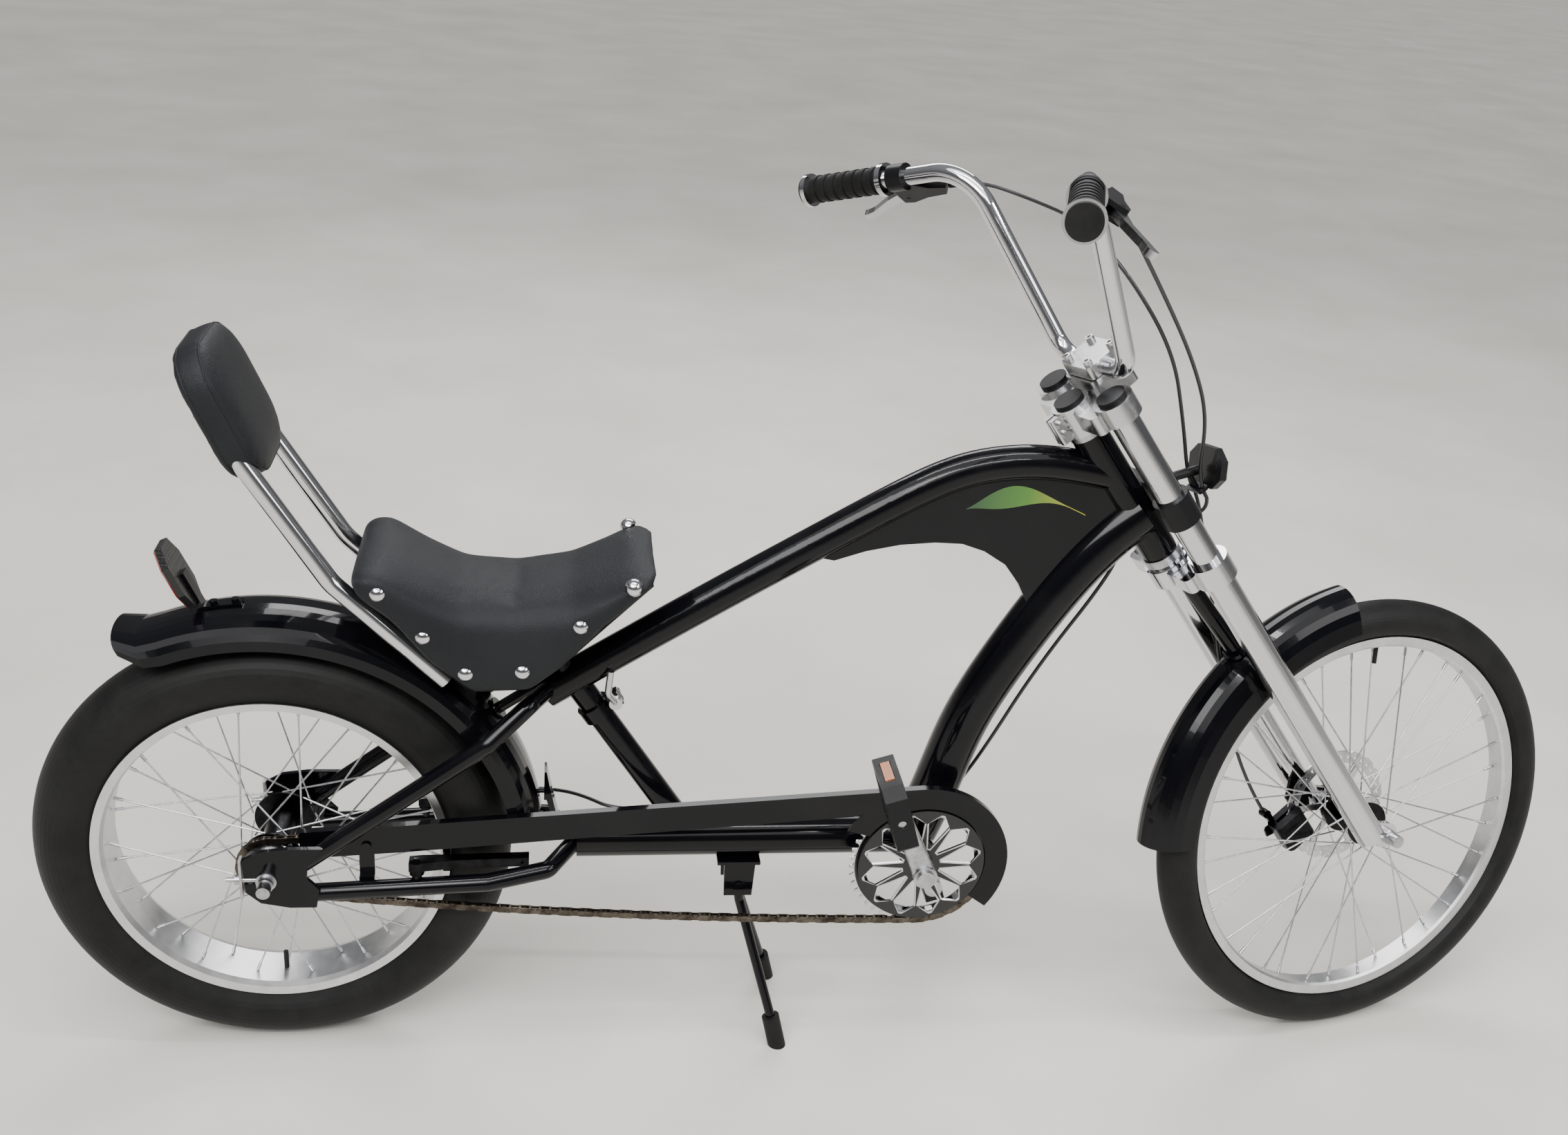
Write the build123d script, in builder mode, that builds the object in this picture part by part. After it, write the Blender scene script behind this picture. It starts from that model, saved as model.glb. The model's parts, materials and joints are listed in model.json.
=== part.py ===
from build123d import *
from math import acos, atan2, cos, hypot, pi, radians, sin
import os

# A chopper cruiser bicycle, one STEP file per piece.
# Row frame in mm: +X forward, +Y to the rider's left, +Z up. The origin lies on the ground
# under the rear axle. The steered assembly is drawn straight, in its own axes (x ahead of the
# steering axis, y left, z up the axis), and is then turned to its resting angle.

# Wheels
rear_tyre_radius = 282.0
rear_tyre_half_width = 47.0
rear_rim_radius = 210.0
rear_rim_half_width = 37.0
front_tyre_radius = 304.8
front_tyre_half_width = 27.0
front_rim_radius = 258.4
front_rim_half_width = 16.0
spoke_count = 36
spoke_radius = 1.1

# Steering
head_angle = 52.3
steer_angle = 16.0
wheelbase = 1410.0
fork_rake = 39.5
axle_drop = 656.8
leg_offset = 20.8
leg_spacing = 63.9
leg_radius = 18.5
upper_leg_radius = 17.0
head_tube_radius = 22.0
head_top = 58.0
head_bottom = -131.0

# Frame tubes
top_tube_radius = 21.0
down_tube_radius = 30.0
bottom_tube_radius = 25.0
seat_tube_radius = 16.0
seat_post_radius = 12.7
stay_radius = 11.0
stay_offset = 76.0

# Drive
crank_x = 795.0
crank_z = 280.0
crank_length = 160.0
crank_lean = 24.0
chain_line = 58.0
guard_y = 62.9
chain_pitch = 12.7
ring_teeth = 44
sprocket_teeth = 18

# Seat unit and stand
saddle_half_width = 92.0
sissy_offset = 65.0
sissy_radius = 11.0
stand_half_width = 70.0
clearance = 0.05

os.makedirs("parts", exist_ok=True)


def save(name, part, place=Location()):
    placed = part.moved(place)
    placed.label = name
    export_step(placed, f"parts/{name}.step")


def rod(start, end, radius, inner=0.0):
    """A straight round bar or tube between two points."""
    start = Vector(*start)
    end = Vector(*end)
    with BuildPart() as made:
        with BuildSketch(Plane(origin=start, z_dir=end - start)):
            Circle(radius)
            if inner:
                Circle(inner, mode=Mode.SUBTRACT)
        extrude(amount=(end - start).length)
    return made.part


def bent(points, radius, bends, inner=0.0):
    """A round bar or tube along straight runs joined by arcs."""
    with BuildPart() as made:
        with BuildLine() as path:
            FilletPolyline(*points, radius=bends)
        with BuildSketch(Plane(origin=path.wire() @ 0, z_dir=path.wire() % 0)):
            Circle(radius)
            if inner:
                Circle(inner, mode=Mode.SUBTRACT)
        sweep()
    return made.part


def curved(points, radius):
    """A round bar along a smooth curve through the points."""
    with BuildPart() as made:
        with BuildLine() as path:
            Spline(*points)
        with BuildSketch(Plane(origin=path.wire() @ 0, z_dir=path.wire() % 0)):
            Circle(radius)
        sweep()
    return made.part


def slab(outline, half_width, middle=0.0):
    """A plate with an x-z outline, centred on y = middle."""
    with BuildPart() as made:
        with BuildSketch(Plane(origin=(0, middle, 0), x_dir=(1, 0, 0), z_dir=(0, -1, 0))):
            with BuildLine():
                Polyline(*outline, close=True)
            make_face()
        extrude(amount=half_width, both=True)
    return made.part


def ring_of(section, arc=360.0):
    """A solid turned about the Y axis from a closed outline of (radius, y) points."""
    with BuildPart() as made:
        with BuildSketch(Plane.XY):
            with BuildLine():
                Polyline(*section, close=True)
            make_face()
        revolve(axis=Axis.Y, revolution_arc=arc)
    return made.part


def fuse(*parts):
    whole = parts[0]
    for part in parts[1:]:
        whole = whole + part
    return whole


def mirrored(part):
    return mirror(part, about=Plane.XZ)


def oval(radial, half_width, centre, start, end, steps):
    """Points of an ellipse arc in (radius, y), angles from the outward direction."""
    angles = [radians(start + (end - start) * i / steps) for i in range(steps + 1)]
    return [(centre + radial * cos(a), half_width * sin(a)) for a in angles]


# Steering geometry: the front tyre, turned and leaned, still touches the ground.
axis_dir = Vector(-cos(radians(head_angle)), 0, sin(radians(head_angle)))
ahead_dir = Vector(sin(radians(head_angle)), 0, cos(radians(head_angle)))
turn = radians(steer_angle)
turned_y = Vector(-sin(turn) * ahead_dir.X, cos(turn), -sin(turn) * ahead_dir.Z)
turned_x = Vector(cos(turn) * ahead_dir.X, sin(turn), cos(turn) * ahead_dir.Z)
crown_radius = front_tyre_radius - front_tyre_half_width
lean_reach = crown_radius * hypot(turned_y.X, turned_y.Y)
front_axle_z = lean_reach + front_tyre_half_width - fork_rake * (turned_x.Z - ahead_dir.Z)
axis_x = wheelbase - fork_rake * ahead_dir.X + axle_drop * axis_dir.X
axis_z = front_axle_z - fork_rake * ahead_dir.Z + axle_drop * axis_dir.Z
axis_point = Vector(axis_x, 0, axis_z)
steered = Location(Plane(origin=axis_point, x_dir=turned_x, z_dir=axis_dir))
straight = Location(Plane(origin=axis_point, x_dir=ahead_dir, z_dir=axis_dir))
wheel_place = steered * Location((fork_rake, 0, -axle_drop), (0, 90 - head_angle, 0))


# ---- Frame -------------------------------------------------------------------------------

head_tube = rod((0, 0, head_bottom), (0, 0, head_top), head_tube_radius, 17.0).moved(straight)
head_core = rod((0, 0, head_bottom - 9), (0, 0, head_top + 9), 17.1).moved(straight)
head_solid = rod((0, 0, head_bottom), (0, 0, head_top), head_tube_radius).moved(straight)

seat_low = Vector(507, 0, 283)
seat_dir = Vector(-160, 0, 237).normalized()
post_bore = rod(seat_low + seat_dir * 90, seat_low + seat_dir * 360, seat_post_radius + clearance)

top_line = [(322, 492), (411, 551), (570, 654), (649, 704), (726, 752), (765, 774),
            (805, 791), (845, 800), (887, 803), (929, 800), (axis_x - 2, axis_z - 5)]
top_tube_solid = curved([(x, 0, z) for x, z in top_line], top_tube_radius)
top_tube = top_tube_solid - head_solid - post_bore

down_line = [(axis_x + 48, axis_z - 52), (969, 686), (920, 611), (884, 545), (844, 455),
             (822, 375), (crank_x + 3, crank_z + 12)]
down_tube_solid = curved([(x, 0, z) for x, z in down_line], down_tube_radius)
shell_solid = rod((crank_x, -36, crank_z), (crank_x, 36, crank_z), 24.0)
shell_bore = rod((crank_x, -37, crank_z), (crank_x, 37, crank_z), 17.0)
bottom_end = (363, 0, 282)
bottom_tube_solid = rod(bottom_end, (crank_x, 0, crank_z + 5), bottom_tube_radius)
bottom_tube = fuse(bottom_tube_solid, shell_solid) - shell_bore
steering_clear = rod((0, 0, head_bottom - 60), (0, 0, head_bottom), 40).moved(straight)
down_tube = down_tube_solid - head_solid - head_core - top_tube_solid - bottom_tube_solid
down_tube = down_tube - shell_solid - steering_clear

gusset_outline = [(axis_x + 20, axis_z - 45), (960, 795), (890, 803), (800, 790), (720, 750), (650, 704),
                  (622, 682), (655, 676), (692, 689), (732, 698), (774, 702), (807, 701),
                  (835, 692), (863, 675), (883, 650), (897, 624), (915, 610)]
gusset = slab(gusset_outline, 11.0) - top_tube_solid - down_tube_solid - head_solid

seat_tube_solid = rod(seat_low, seat_low + seat_dir * 290, seat_tube_radius, seat_post_radius + clearance)
seat_tube = seat_tube_solid - top_tube_solid - bottom_tube_solid


def rear_triangle():
    """Seat stay, chainstay and dropout of the right side as one welded piece."""
    y = -stay_offset
    seat_stay = bent([(40, y, 298), (256, y, 462), (302, -52, 500), (322, -14, 500)],
                     stay_radius, 14)
    chain_stay = bent([(44, y, 256), (256, y, 268), (328, -62, 276), (356, -16, 280), (376, -6, 281)],
                      stay_radius, 12)
    plate = slab([(-27, 310), (-25, 266), (-8, 250), (25, 243), (56, 243), (60, 268), (46, 284),
                  (48, 302), (66, 326), (26, 326), (-6, 322)], 3.0, -85)
    slot = slab([(-40, 276.8), (12, 276.8), (12, 287.2), (-40, 287.2)], 6.0, -85)
    boss = rod((172, y + 4, 262), (172, y + 4, 279), 6.0)
    pivot = rod((172, y + 4, 279), (172, y + 4, 300), 3.9)
    return fuse(seat_stay, chain_stay, plate, boss, pivot) - slot


right_stays = rear_triangle() - top_tube_solid - bottom_tube_solid
left_stays = mirrored(right_stays)

stand_x = 570.0
stand_z = 222.0


def stand_hanger():
    plate = slab([(541, 254), (596, 254), (596, 258.4), (541, 258.4)], 26.0)
    cheek = slab([(550, 255), (590, 255), (588, 206), (552, 206)], 2.0, -22.0)
    bolt = rod((stand_x, -27, stand_z), (stand_x, 27, stand_z), 5.0)
    stop = rod((587, -20, 236), (587, 20, 236), 2.5)
    return fuse(plate, cheek, mirrored(cheek), bolt, stop) - bottom_tube_solid


stand_hanger_part = stand_hanger()

# Bearings: headset cups and bottom bracket cups
upper_cup = rod((0, 0, head_top), (0, 0, head_top + 7), 23.0, 13.5)
lower_cup = rod((0, 0, head_bottom - 11), (0, 0, head_bottom), 24.0, 13.5)
right_cup = rod((crank_x, -41, crank_z), (crank_x, -36, crank_z), 21.0, 8.55)
bearing_cups = Compound([upper_cup.moved(straight), lower_cup.moved(straight), right_cup,
                         mirrored(right_cup)])

for name, part in {"head_tube": head_tube, "top_tube": top_tube, "gusset": gusset,
                   "down_tube": down_tube, "bottom_tube": bottom_tube, "seat_tube": seat_tube,
                   "right_stays": right_stays, "left_stays": left_stays,
                   "stand_hanger": stand_hanger_part, "bearing_cups": bearing_cups}.items():
    save(name, part)


# ---- Wheels ------------------------------------------------------------------------------

def tyre(radius, half_width, bead_radius, bead_half_width):
    """Hollow tyre, its beads standing on the rim's floor between the flanges."""
    centre = radius - (radius - bead_radius) * 0.5
    rise = radius - centre
    outer = oval(rise, half_width, centre, -128, 128, 28)
    inner = oval(rise - 6, half_width - 4.5, centre, 128, -128, 28)
    shoulder = bead_radius + 8.4
    left_bead = [(shoulder, bead_half_width), (bead_radius, bead_half_width),
                 (bead_radius, bead_half_width - 4), (shoulder + 2, bead_half_width - 4)]
    right_bead = [(radius_at, -y) for radius_at, y in left_bead[::-1]]
    return ring_of(outer[1:-1] + left_bead + inner[1:-1] + right_bead)


def rim(outer_radius, half_width, depth):
    """Dished rim: two flanges, a floor and a raised inner band."""
    floor = outer_radius - 8
    inner = outer_radius - depth
    section = [(outer_radius, -half_width), (outer_radius, 2.5 - half_width), (floor, 3.0 - half_width),
               (floor, half_width - 3.0), (outer_radius, half_width - 2.5), (outer_radius, half_width),
               (inner + 3, half_width - 1.5), (inner, half_width * 0.75), (inner, -half_width * 0.75),
               (inner + 3, 1.5 - half_width)]
    return ring_of(section)


def hub(flange_radius, right_y, left_y, barrel_radius, bore):
    turned = fuse(rod((0, right_y, 0), (0, left_y, 0), barrel_radius),
                  rod((0, right_y, 0), (0, right_y + 3, 0), flange_radius),
                  rod((0, left_y - 3, 0), (0, left_y, 0), flange_radius))
    return turned - rod((0, right_y - 1, 0), (0, left_y + 1, 0), bore)


def spokes(flange_radius, right_y, left_y, rim_radius, rim_offset):
    """Crossed spokes with nipples, alternate spokes on either face of each flange."""
    made = []
    side_count = spoke_count // 2
    for side, flange_y in ((-1, right_y), (1, left_y)):
        for i in range(side_count):
            outside = i % 2
            face = flange_y - side * (0.2 if outside else 2.8)
            hub_turn = radians(360 / side_count * i + (10 if side > 0 else 0))
            rim_turn = hub_turn + radians(60 if outside else -60)
            reach = flange_radius + 1.9
            spread = side * (rim_offset + (2 if outside else -2))
            start = Vector(reach * cos(hub_turn), face, reach * sin(hub_turn))
            end = Vector(rim_radius * cos(rim_turn), spread, rim_radius * sin(rim_turn))
            along = (end - start).normalized()
            stop = end - along * 1.6
            nipple = end - along * 13
            made.append(rod(start, nipple, spoke_radius))
            made.append(rod(nipple, stop, 2.0))
    return Compound(made)


rear_wheel_place = Location((0, 0, rear_tyre_radius))
rear_rim_part = rim(rear_rim_radius, rear_rim_half_width, 13.0)
rear_tyre_part = tyre(rear_tyre_radius, rear_tyre_half_width, rear_rim_radius - 7.7, rear_rim_half_width - 3.5)
rear_hub_part = hub(36.0, -44.0, 48.0, 19.0, 5.55) + rod((0, -65, 0), (0, -43, 0), 8.05, 5.55)
rear_spokes_part = spokes(36.0, -44.0, 48.0, rear_rim_radius - 13.0, 10.0)
rear_valve = rod((0, 0, -172), (0, 0, -196.5), 3.0)
front_rim_part = rim(front_rim_radius, front_rim_half_width, 14.0)
front_tyre_part = tyre(front_tyre_radius, front_tyre_half_width, front_rim_radius - 7.7,
                       front_rim_half_width - 3.5)
front_hub_part = hub(30.0, -30.0, 20.0, 15.0, 5.05)
front_spokes_part = spokes(30.0, -30.0, 20.0, front_rim_radius - 14.0, 5.0)
rotor_y = 36.0
front_valve = rod((0, 0, 218), (0, 0, 243.5), 3.0)


def disc_rotor():
    """Brake disc with a wavy edge, drilled band and six arms."""
    with BuildPart() as made:
        with BuildSketch(Plane(origin=(0, rotor_y, 0), x_dir=(1, 0, 0), z_dir=(0, 1, 0))):
            Circle(79)
            with PolarLocations(83, 18):
                Circle(7, mode=Mode.SUBTRACT)
            Circle(62, mode=Mode.SUBTRACT)
            with PolarLocations(71, 36):
                Circle(2.2, mode=Mode.SUBTRACT)
            with PolarLocations(43, 6):
                SlotOverall(46, 9)
            Circle(24)
            Circle(15, mode=Mode.SUBTRACT)
        extrude(amount=2)
    return made.part


rotor_seat = rod((0, 19, 0), (0, 40, 0), 14.9, 5.05)
front_hub_part = front_hub_part + rotor_seat
save("rear_tyre", Compound([rear_tyre_part, rear_valve]), rear_wheel_place)
save("rear_rim", rear_rim_part, rear_wheel_place)
save("rear_hub", rear_hub_part, rear_wheel_place)
save("rear_spokes", rear_spokes_part, rear_wheel_place)
save("front_tyre", Compound([front_tyre_part, front_valve]), wheel_place)
save("front_rim", front_rim_part, wheel_place)
save("front_hub", front_hub_part, wheel_place)
save("front_spokes", front_spokes_part, wheel_place)
save("front_rotor", disc_rotor(), wheel_place)

# ---- Rear axle, sprocket, chainring, cranks and chain --------------------------------------

def rear_axle():
    shaft = rod((0, -112, 0), (0, 112, 0), 5.0)
    nut = rod((0, -88.1, 0), (0, -99, 0), 9.5)
    cap = rod((0, -99, 0), (0, -113, 0), 8.0)
    cone = rod((0, -82, 0), (0, -66.2, 0), 8.0)
    stay_side = fuse(shaft, nut, cap, cone, mirrored(fuse(nut, cap)),
                     rod((0, 82, 0), (0, 48.2, 0), 8.0))
    end_plate = slab([(-27.3, -24), (-30.3, -24), (-30.3, 30), (-27.3, 30)], 6.0, -85)
    screw = rod((-46, -85, 0), (-8, -85, 0), 3.0)
    head = rod((-36, -85, 0), (-30.3, -85, 0), 6.0)
    eye = rod((0, -91, 0), (0, -88.1, 0), 12.0)
    tensioner = fuse(end_plate, screw, head) - rod((0, -95, 0), (0, -70, 0), 9.6)
    return Compound([stay_side + eye, tensioner, mirrored(tensioner)])


def toothed(teeth, thickness, bore):
    """A chain wheel: a disc whose teeth stand between the chain's rollers."""
    pitch_radius = chain_pitch / 2 / sin(pi / teeth)
    with BuildPart() as made:
        with BuildSketch(Plane(origin=(0, -chain_line, 0), x_dir=(1, 0, 0), z_dir=(0, -1, 0))):
            Circle(pitch_radius + 2.8)
            with PolarLocations(pitch_radius, teeth):
                Circle(4.2, mode=Mode.SUBTRACT)
            with PolarLocations(pitch_radius + 4.4, teeth):
                Circle(5.7, mode=Mode.SUBTRACT)
            Circle(bore, mode=Mode.SUBTRACT)
        extrude(amount=thickness / 2, both=True)
    return made.part


def ring_face():
    """The chainring's cover disc with twelve kite-shaped windows."""
    with BuildPart() as made:
        with BuildSketch(Plane(origin=(0, -chain_line - 5.2, 0), x_dir=(1, 0, 0), z_dir=(0, -1, 0))):
            Circle(81)
            with PolarLocations(0, 12, start_angle=15):
                Polygon((26, 1.6), (62, 14.0), (74, 3.2), (74, -3.2), (62, -14.0), (26, -1.6),
                        align=None, mode=Mode.SUBTRACT)
            Circle(14, mode=Mode.SUBTRACT)
        extrude(amount=3)
    return made.part


chain_wheel = toothed(ring_teeth, 1.9, 70.0)
with BuildPart() as ring_band:
    with BuildSketch(Plane(origin=(0, -chain_line - 5.2, 0), x_dir=(1, 0, 0), z_dir=(0, 1, 0))):
        Circle(80)
        Circle(74.5, mode=Mode.SUBTRACT)
    extrude(amount=5.2 - 0.95)
chainring = fuse(chain_wheel, ring_band.part, ring_face())
crank_place = Location((crank_x, 0, crank_z))
pedal_turn = radians(crank_lean)
pedal_right = Vector(-crank_length * sin(pedal_turn), -96, crank_length * cos(pedal_turn))
pedal_left = Vector(-pedal_right.X, 96, -pedal_right.Z)


def crank_arm():
    """Right crank: boss, tapering arm, pedal eye and pedal axle."""
    arm_dir = Vector(pedal_right.X, 0, pedal_right.Z).normalized()
    boss = rod((0, -94, 0), (0, -69, 0), 15.0)
    with BuildPart() as arm:
        with BuildSketch(Plane(origin=Vector(0, -83, 0), x_dir=(0, 1, 0), z_dir=arm_dir)):
            RectangleRounded(15, 29, 6)
        with BuildSketch(Plane(origin=Vector(0, -88, 0) + arm_dir * crank_length, x_dir=(0, 1, 0), z_dir=arm_dir)):
            RectangleRounded(13, 19, 5)
        loft()
    eye_at = Vector(pedal_right.X, 0, pedal_right.Z)
    eye = rod(eye_at + Vector(0, -96, 0), eye_at + Vector(0, -81, 0), 12.5)
    axle = rod(eye_at + Vector(0, -190, 0), eye_at + Vector(0, -96, 0), 5.0)
    collar = rod(eye_at + Vector(0, -99, 0), eye_at + Vector(0, -96, 0), 9.0)
    cap = rod((0, -98, 0), (0, -94, 0), 11.0)
    return fuse(boss, arm.part, eye, axle, collar, cap)


right_crank = crank_arm()
left_crank = mirrored(right_crank).rotate(Axis.Y, 180)
spindle = rod((0, -69, 0), (0, 69, 0), 8.5)
sprocket = toothed(sprocket_teeth, 1.9, 0.1) + rod((0, -64, 0), (0, -49, 0), 24.0)
sprocket = sprocket - rod((0, -70, 0), (0, -40, 0), 8.1)
save("rear_axle", rear_axle(), rear_wheel_place)
save("rear_sprocket", sprocket, rear_wheel_place)
save("chainring", chainring - rod((0, -80, 0), (0, -40, 0), 14.0), crank_place)
save("cranks", fuse(spindle, right_crank, left_crank, rod((0, -69, 0), (0, -56, 0), 14.0)), crank_place)


def pedal_body():
    """Platform pedal around its axle, drawn with its platform in the local x-y plane."""
    with BuildPart() as made:
        with BuildSketch():
            with BuildLine():
                Polyline((-46, -32), (-34, -46), (34, -46), (46, -32), (46, 32), (34, 46), (-34, 46),
                         (-46, 32), close=True)
            make_face()
            with Locations((-23.5, 0), (23.5, 0)):
                RectangleRounded(23, 66, 4, mode=Mode.SUBTRACT)
        extrude(amount=13, both=True)
        with Locations((45, 0, 0), (-45, 0, 0)):
            Box(4.2, 40, 13, mode=Mode.SUBTRACT)
    core = rod((0, -46, 0), (0, 46, 0), 9.5)
    bore = rod((0, -60, 0), (0, 60, 0), 5.0 + clearance)
    return made.part + core - bore


def pedal_reflectors():
    with BuildPart() as made:
        with Locations((44.9, 0, 0), (-44.9, 0, 0)):
            Box(3.6, 38, 11)
    return made.part


pedal_tilt = 72.0
for side, at in (("right", pedal_right), ("left", pedal_left)):
    middle = 146.0 if side == "left" else -146.0
    place = crank_place * Location((at.X, middle, at.Z), (0, pedal_tilt, 0))
    save(f"{side}_pedal", pedal_body(), place)
    save(f"{side}_pedal_reflectors", pedal_reflectors(), place)


def chain_path():
    """Roller positions (x, z) round the chainring, the sagging lower run, the sprocket, the upper run."""
    ring_radius = chain_pitch / 2 / sin(pi / ring_teeth)
    small_radius = chain_pitch / 2 / sin(pi / sprocket_teeth)
    gap_x = crank_x
    gap_z = rear_tyre_radius - crank_z
    slope = atan2(ring_radius - small_radius, gap_x)
    ring_count = int((pi + 2 * slope) / (2 * pi / ring_teeth))
    small_count = int((pi - 2 * slope) / (2 * pi / sprocket_teeth))
    ring_half = ring_count // 2
    small_half = small_count // 2
    around_ring = [(crank_x + ring_radius * cos(2 * pi / ring_teeth * i),
                    crank_z + ring_radius * sin(2 * pi / ring_teeth * i))
                   for i in range(ring_half, -ring_half - 1, -1)]
    around_small = [(small_radius * cos(pi - 2 * pi / sprocket_teeth * i),
                     rear_tyre_radius + small_radius * sin(pi - 2 * pi / sprocket_teeth * i))
                    for i in range(-small_half, small_half + 1)]

    def run(start, end, sag):
        steps = round(hypot(end[0] - start[0], end[1] - start[1]) / chain_pitch)
        steps = steps + 1 if steps % 2 else steps
        points = []
        for i in range(1, steps):
            t = i / steps
            drop = 4 * sag * t * (1 - t)
            points.append((start[0] + (end[0] - start[0]) * t, start[1] + (end[1] - start[1]) * t - drop))
        return points

    lower = run(around_ring[-1], around_small[0], 12.0)
    upper = run(around_small[-1], around_ring[0], 2.0)
    return around_ring + lower + around_small + upper


def chain_link(length, wide):
    """Two plates joined by two rollers (narrow) or by two pins (wide)."""
    near, far = (2.7, 3.6) if wide else (1.7, 2.6)
    with BuildPart() as made:
        with BuildSketch(Plane(origin=(0, near, 0), x_dir=(1, 0, 0), z_dir=(0, 1, 0))):
            with Locations((length / 2, 0)):
                SlotCenterToCenter(length, 8.2)
        extrude(amount=far - near)
        mirror(about=Plane.XZ)
    radius = 1.7 if wide else 3.85
    first = rod((0, -far, 0), (0, far, 0), radius)
    if not wide:
        first = rod((0, -near, 0), (0, near, 0), radius)
    whole = made.part + first + first.moved(Location((length, 0, 0)))
    if not wide:
        bore = rod((0, -5, 0), (0, 5, 0), 1.75)
        whole = whole - bore - bore.moved(Location((length, 0, 0)))
    return whole


rollers = chain_path()
links = []
for i, (x, z) in enumerate(rollers):
    next_x, next_z = rollers[(i + 1) % len(rollers)]
    span = hypot(next_x - x, next_z - z)
    heading = atan2(next_z - z, next_x - x)
    link = chain_link(span, i % 2 == 1)
    links.append(link.moved(Location((x, -chain_line, z), (0, -heading * 180 / pi, 0))))
save("chain", Compound(links))


def chain_guard():
    """Flat cover plate over the upper run and round the chainring, with a turned-in top edge."""
    outline = [(36, 296), (36, 333), (786, 391.8), (crank_x, 391.9), (crank_x, 380), (700, 352), (330, 320),
               (160, 305), (60, 298)]
    plate_plane = Plane(origin=(0, -guard_y, 0), x_dir=(1, 0, 0), z_dir=(0, -1, 0))
    with BuildPart() as made:
        with BuildSketch(plate_plane):
            with BuildLine():
                Polyline(*outline, close=True)
            make_face()
            with Locations((crank_x, crank_z)):
                Circle(111.9)
            with Locations((crank_x, crank_z)):
                Circle(83, mode=Mode.SUBTRACT)
            with BuildLine():
                Polyline((crank_x - 130, crank_z + 60), (crank_x - 60, crank_z + 40), (crank_x, crank_z),
                         (crank_x + 120, crank_z - 86), (crank_x + 120, crank_z - 130),
                         (crank_x - 130, crank_z - 130), close=True)
            make_face(mode=Mode.SUBTRACT)
        extrude(amount=1.5)
        with BuildSketch(plate_plane):
            with BuildLine():
                Polyline((36, 333), (786, 391.8), (crank_x, 391.9), (crank_x, 390.4), (786, 390.3),
                         (36, 331.5), close=True)
            make_face()
            with BuildLine():
                CenterArc((crank_x, crank_z), 111.9, -30, 120)
                CenterArc((crank_x, crank_z), 110.4, -30, 120)
                Line((crank_x, crank_z + 110.4), (crank_x, crank_z + 111.9))
                edge_a = Vector(crank_x + 111.9 * cos(radians(-30)), crank_z + 111.9 * sin(radians(-30)))
                edge_b = Vector(crank_x + 110.4 * cos(radians(-30)), crank_z + 110.4 * sin(radians(-30)))
                Line(edge_a, edge_b)
            make_face()
        extrude(amount=-8)
    hole = rod((113, -50, 314), (113, -90, 314), 2.5)
    tab = slab([(104, 258), (122, 258), (122, 319), (104, 319)], 1.25, -guard_y + 1.3)
    foot = slab([(104, 262), (122, 262), (122, 274), (104, 274)], 3.5, -guard_y - 3.4)
    tab = tab + foot - right_stays - hole
    screw = rod((113, -guard_y - 4.5, 314), (113, -guard_y - 1.55, 314), 6.0)
    screw = screw + rod((113, -guard_y - 1.6, 314), (113, -guard_y + 3, 314), 2.45)
    return Compound([made.part - hole, tab, screw])


save("chain_guard", chain_guard())


# ---- Rear fender, its brackets and reflector ------------------------------------------------

def fender_section(crown, skirt, half_width, thickness, steps=14):
    """Closed strip (radius, y): a half ellipse of the given crown and skirt radii."""
    outer = [(skirt + (crown - skirt) * cos(pi / 2 * t) ** 0.7 if abs(t) < 1 else skirt,
              half_width * sin(pi / 2 * t)) for t in [i / steps * 2 - 1 for i in range(steps + 1)]]
    inner = [(skirt + (crown - thickness - skirt) * cos(pi / 2 * t) ** 0.7 if abs(t) < 1 else skirt,
              (half_width - thickness) * sin(pi / 2 * t)) for t in [1 - i / steps * 2 for i in range(steps + 1)]]
    return outer + inner


def fender(crown, skirt, half_width, start, stop):
    """Swept blade about the wheel axis; angles run back from straight up."""
    blade = ring_of(fender_section(crown, skirt, half_width, 2.0), stop - start)
    return blade.rotate(Axis.Y, -90 - stop)


rear_blade = fender(322.0, 287.0, 53.5, -81.0, 21.0)


def fender_tail():
    """The tail of the rear fender, lofted outward from the blade's end."""
    stations = [(21.0, 322.0, 287.0, 53.5), (25.0, 324.0, 292.0, 53.0), (29.0, 338.0, 314.0, 44.0)]
    with BuildPart() as made:
        for angle, crown, skirt, half_width in stations:
            out = Vector(-sin(radians(angle)), 0, cos(radians(angle)))
            with BuildSketch(Plane(origin=(0, 0, 0), x_dir=out, z_dir=out.cross(Vector(0, 1, 0)))):
                with BuildLine():
                    Polyline(*fender_section(crown, skirt, half_width, 2.0), close=True)
                make_face()
        loft(ruled=True)
    return made.part


rear_fender = rear_blade + fender_tail()
bolt_angle = radians(-55.0)
out_dir = Vector(-sin(bolt_angle), 0, cos(bolt_angle))
yoke_hole = rod(out_dir * 300, out_dir * 340, 3.0)
front_hole_at = Vector(311, 0, 68)
front_hole = rod(front_hole_at + Vector(-12, 0, 0), front_hole_at + Vector(20, 0, 0), 3.0)
foot_holes = fuse(rod((-30, 0, 300), (-30, 0, 335), 2.5), rod((-54, 0, 300), (-54, 0, 335), 2.5))
rear_fender = rear_fender - yoke_hole - front_hole - foot_holes
save("rear_fender", rear_fender, rear_wheel_place)


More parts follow.
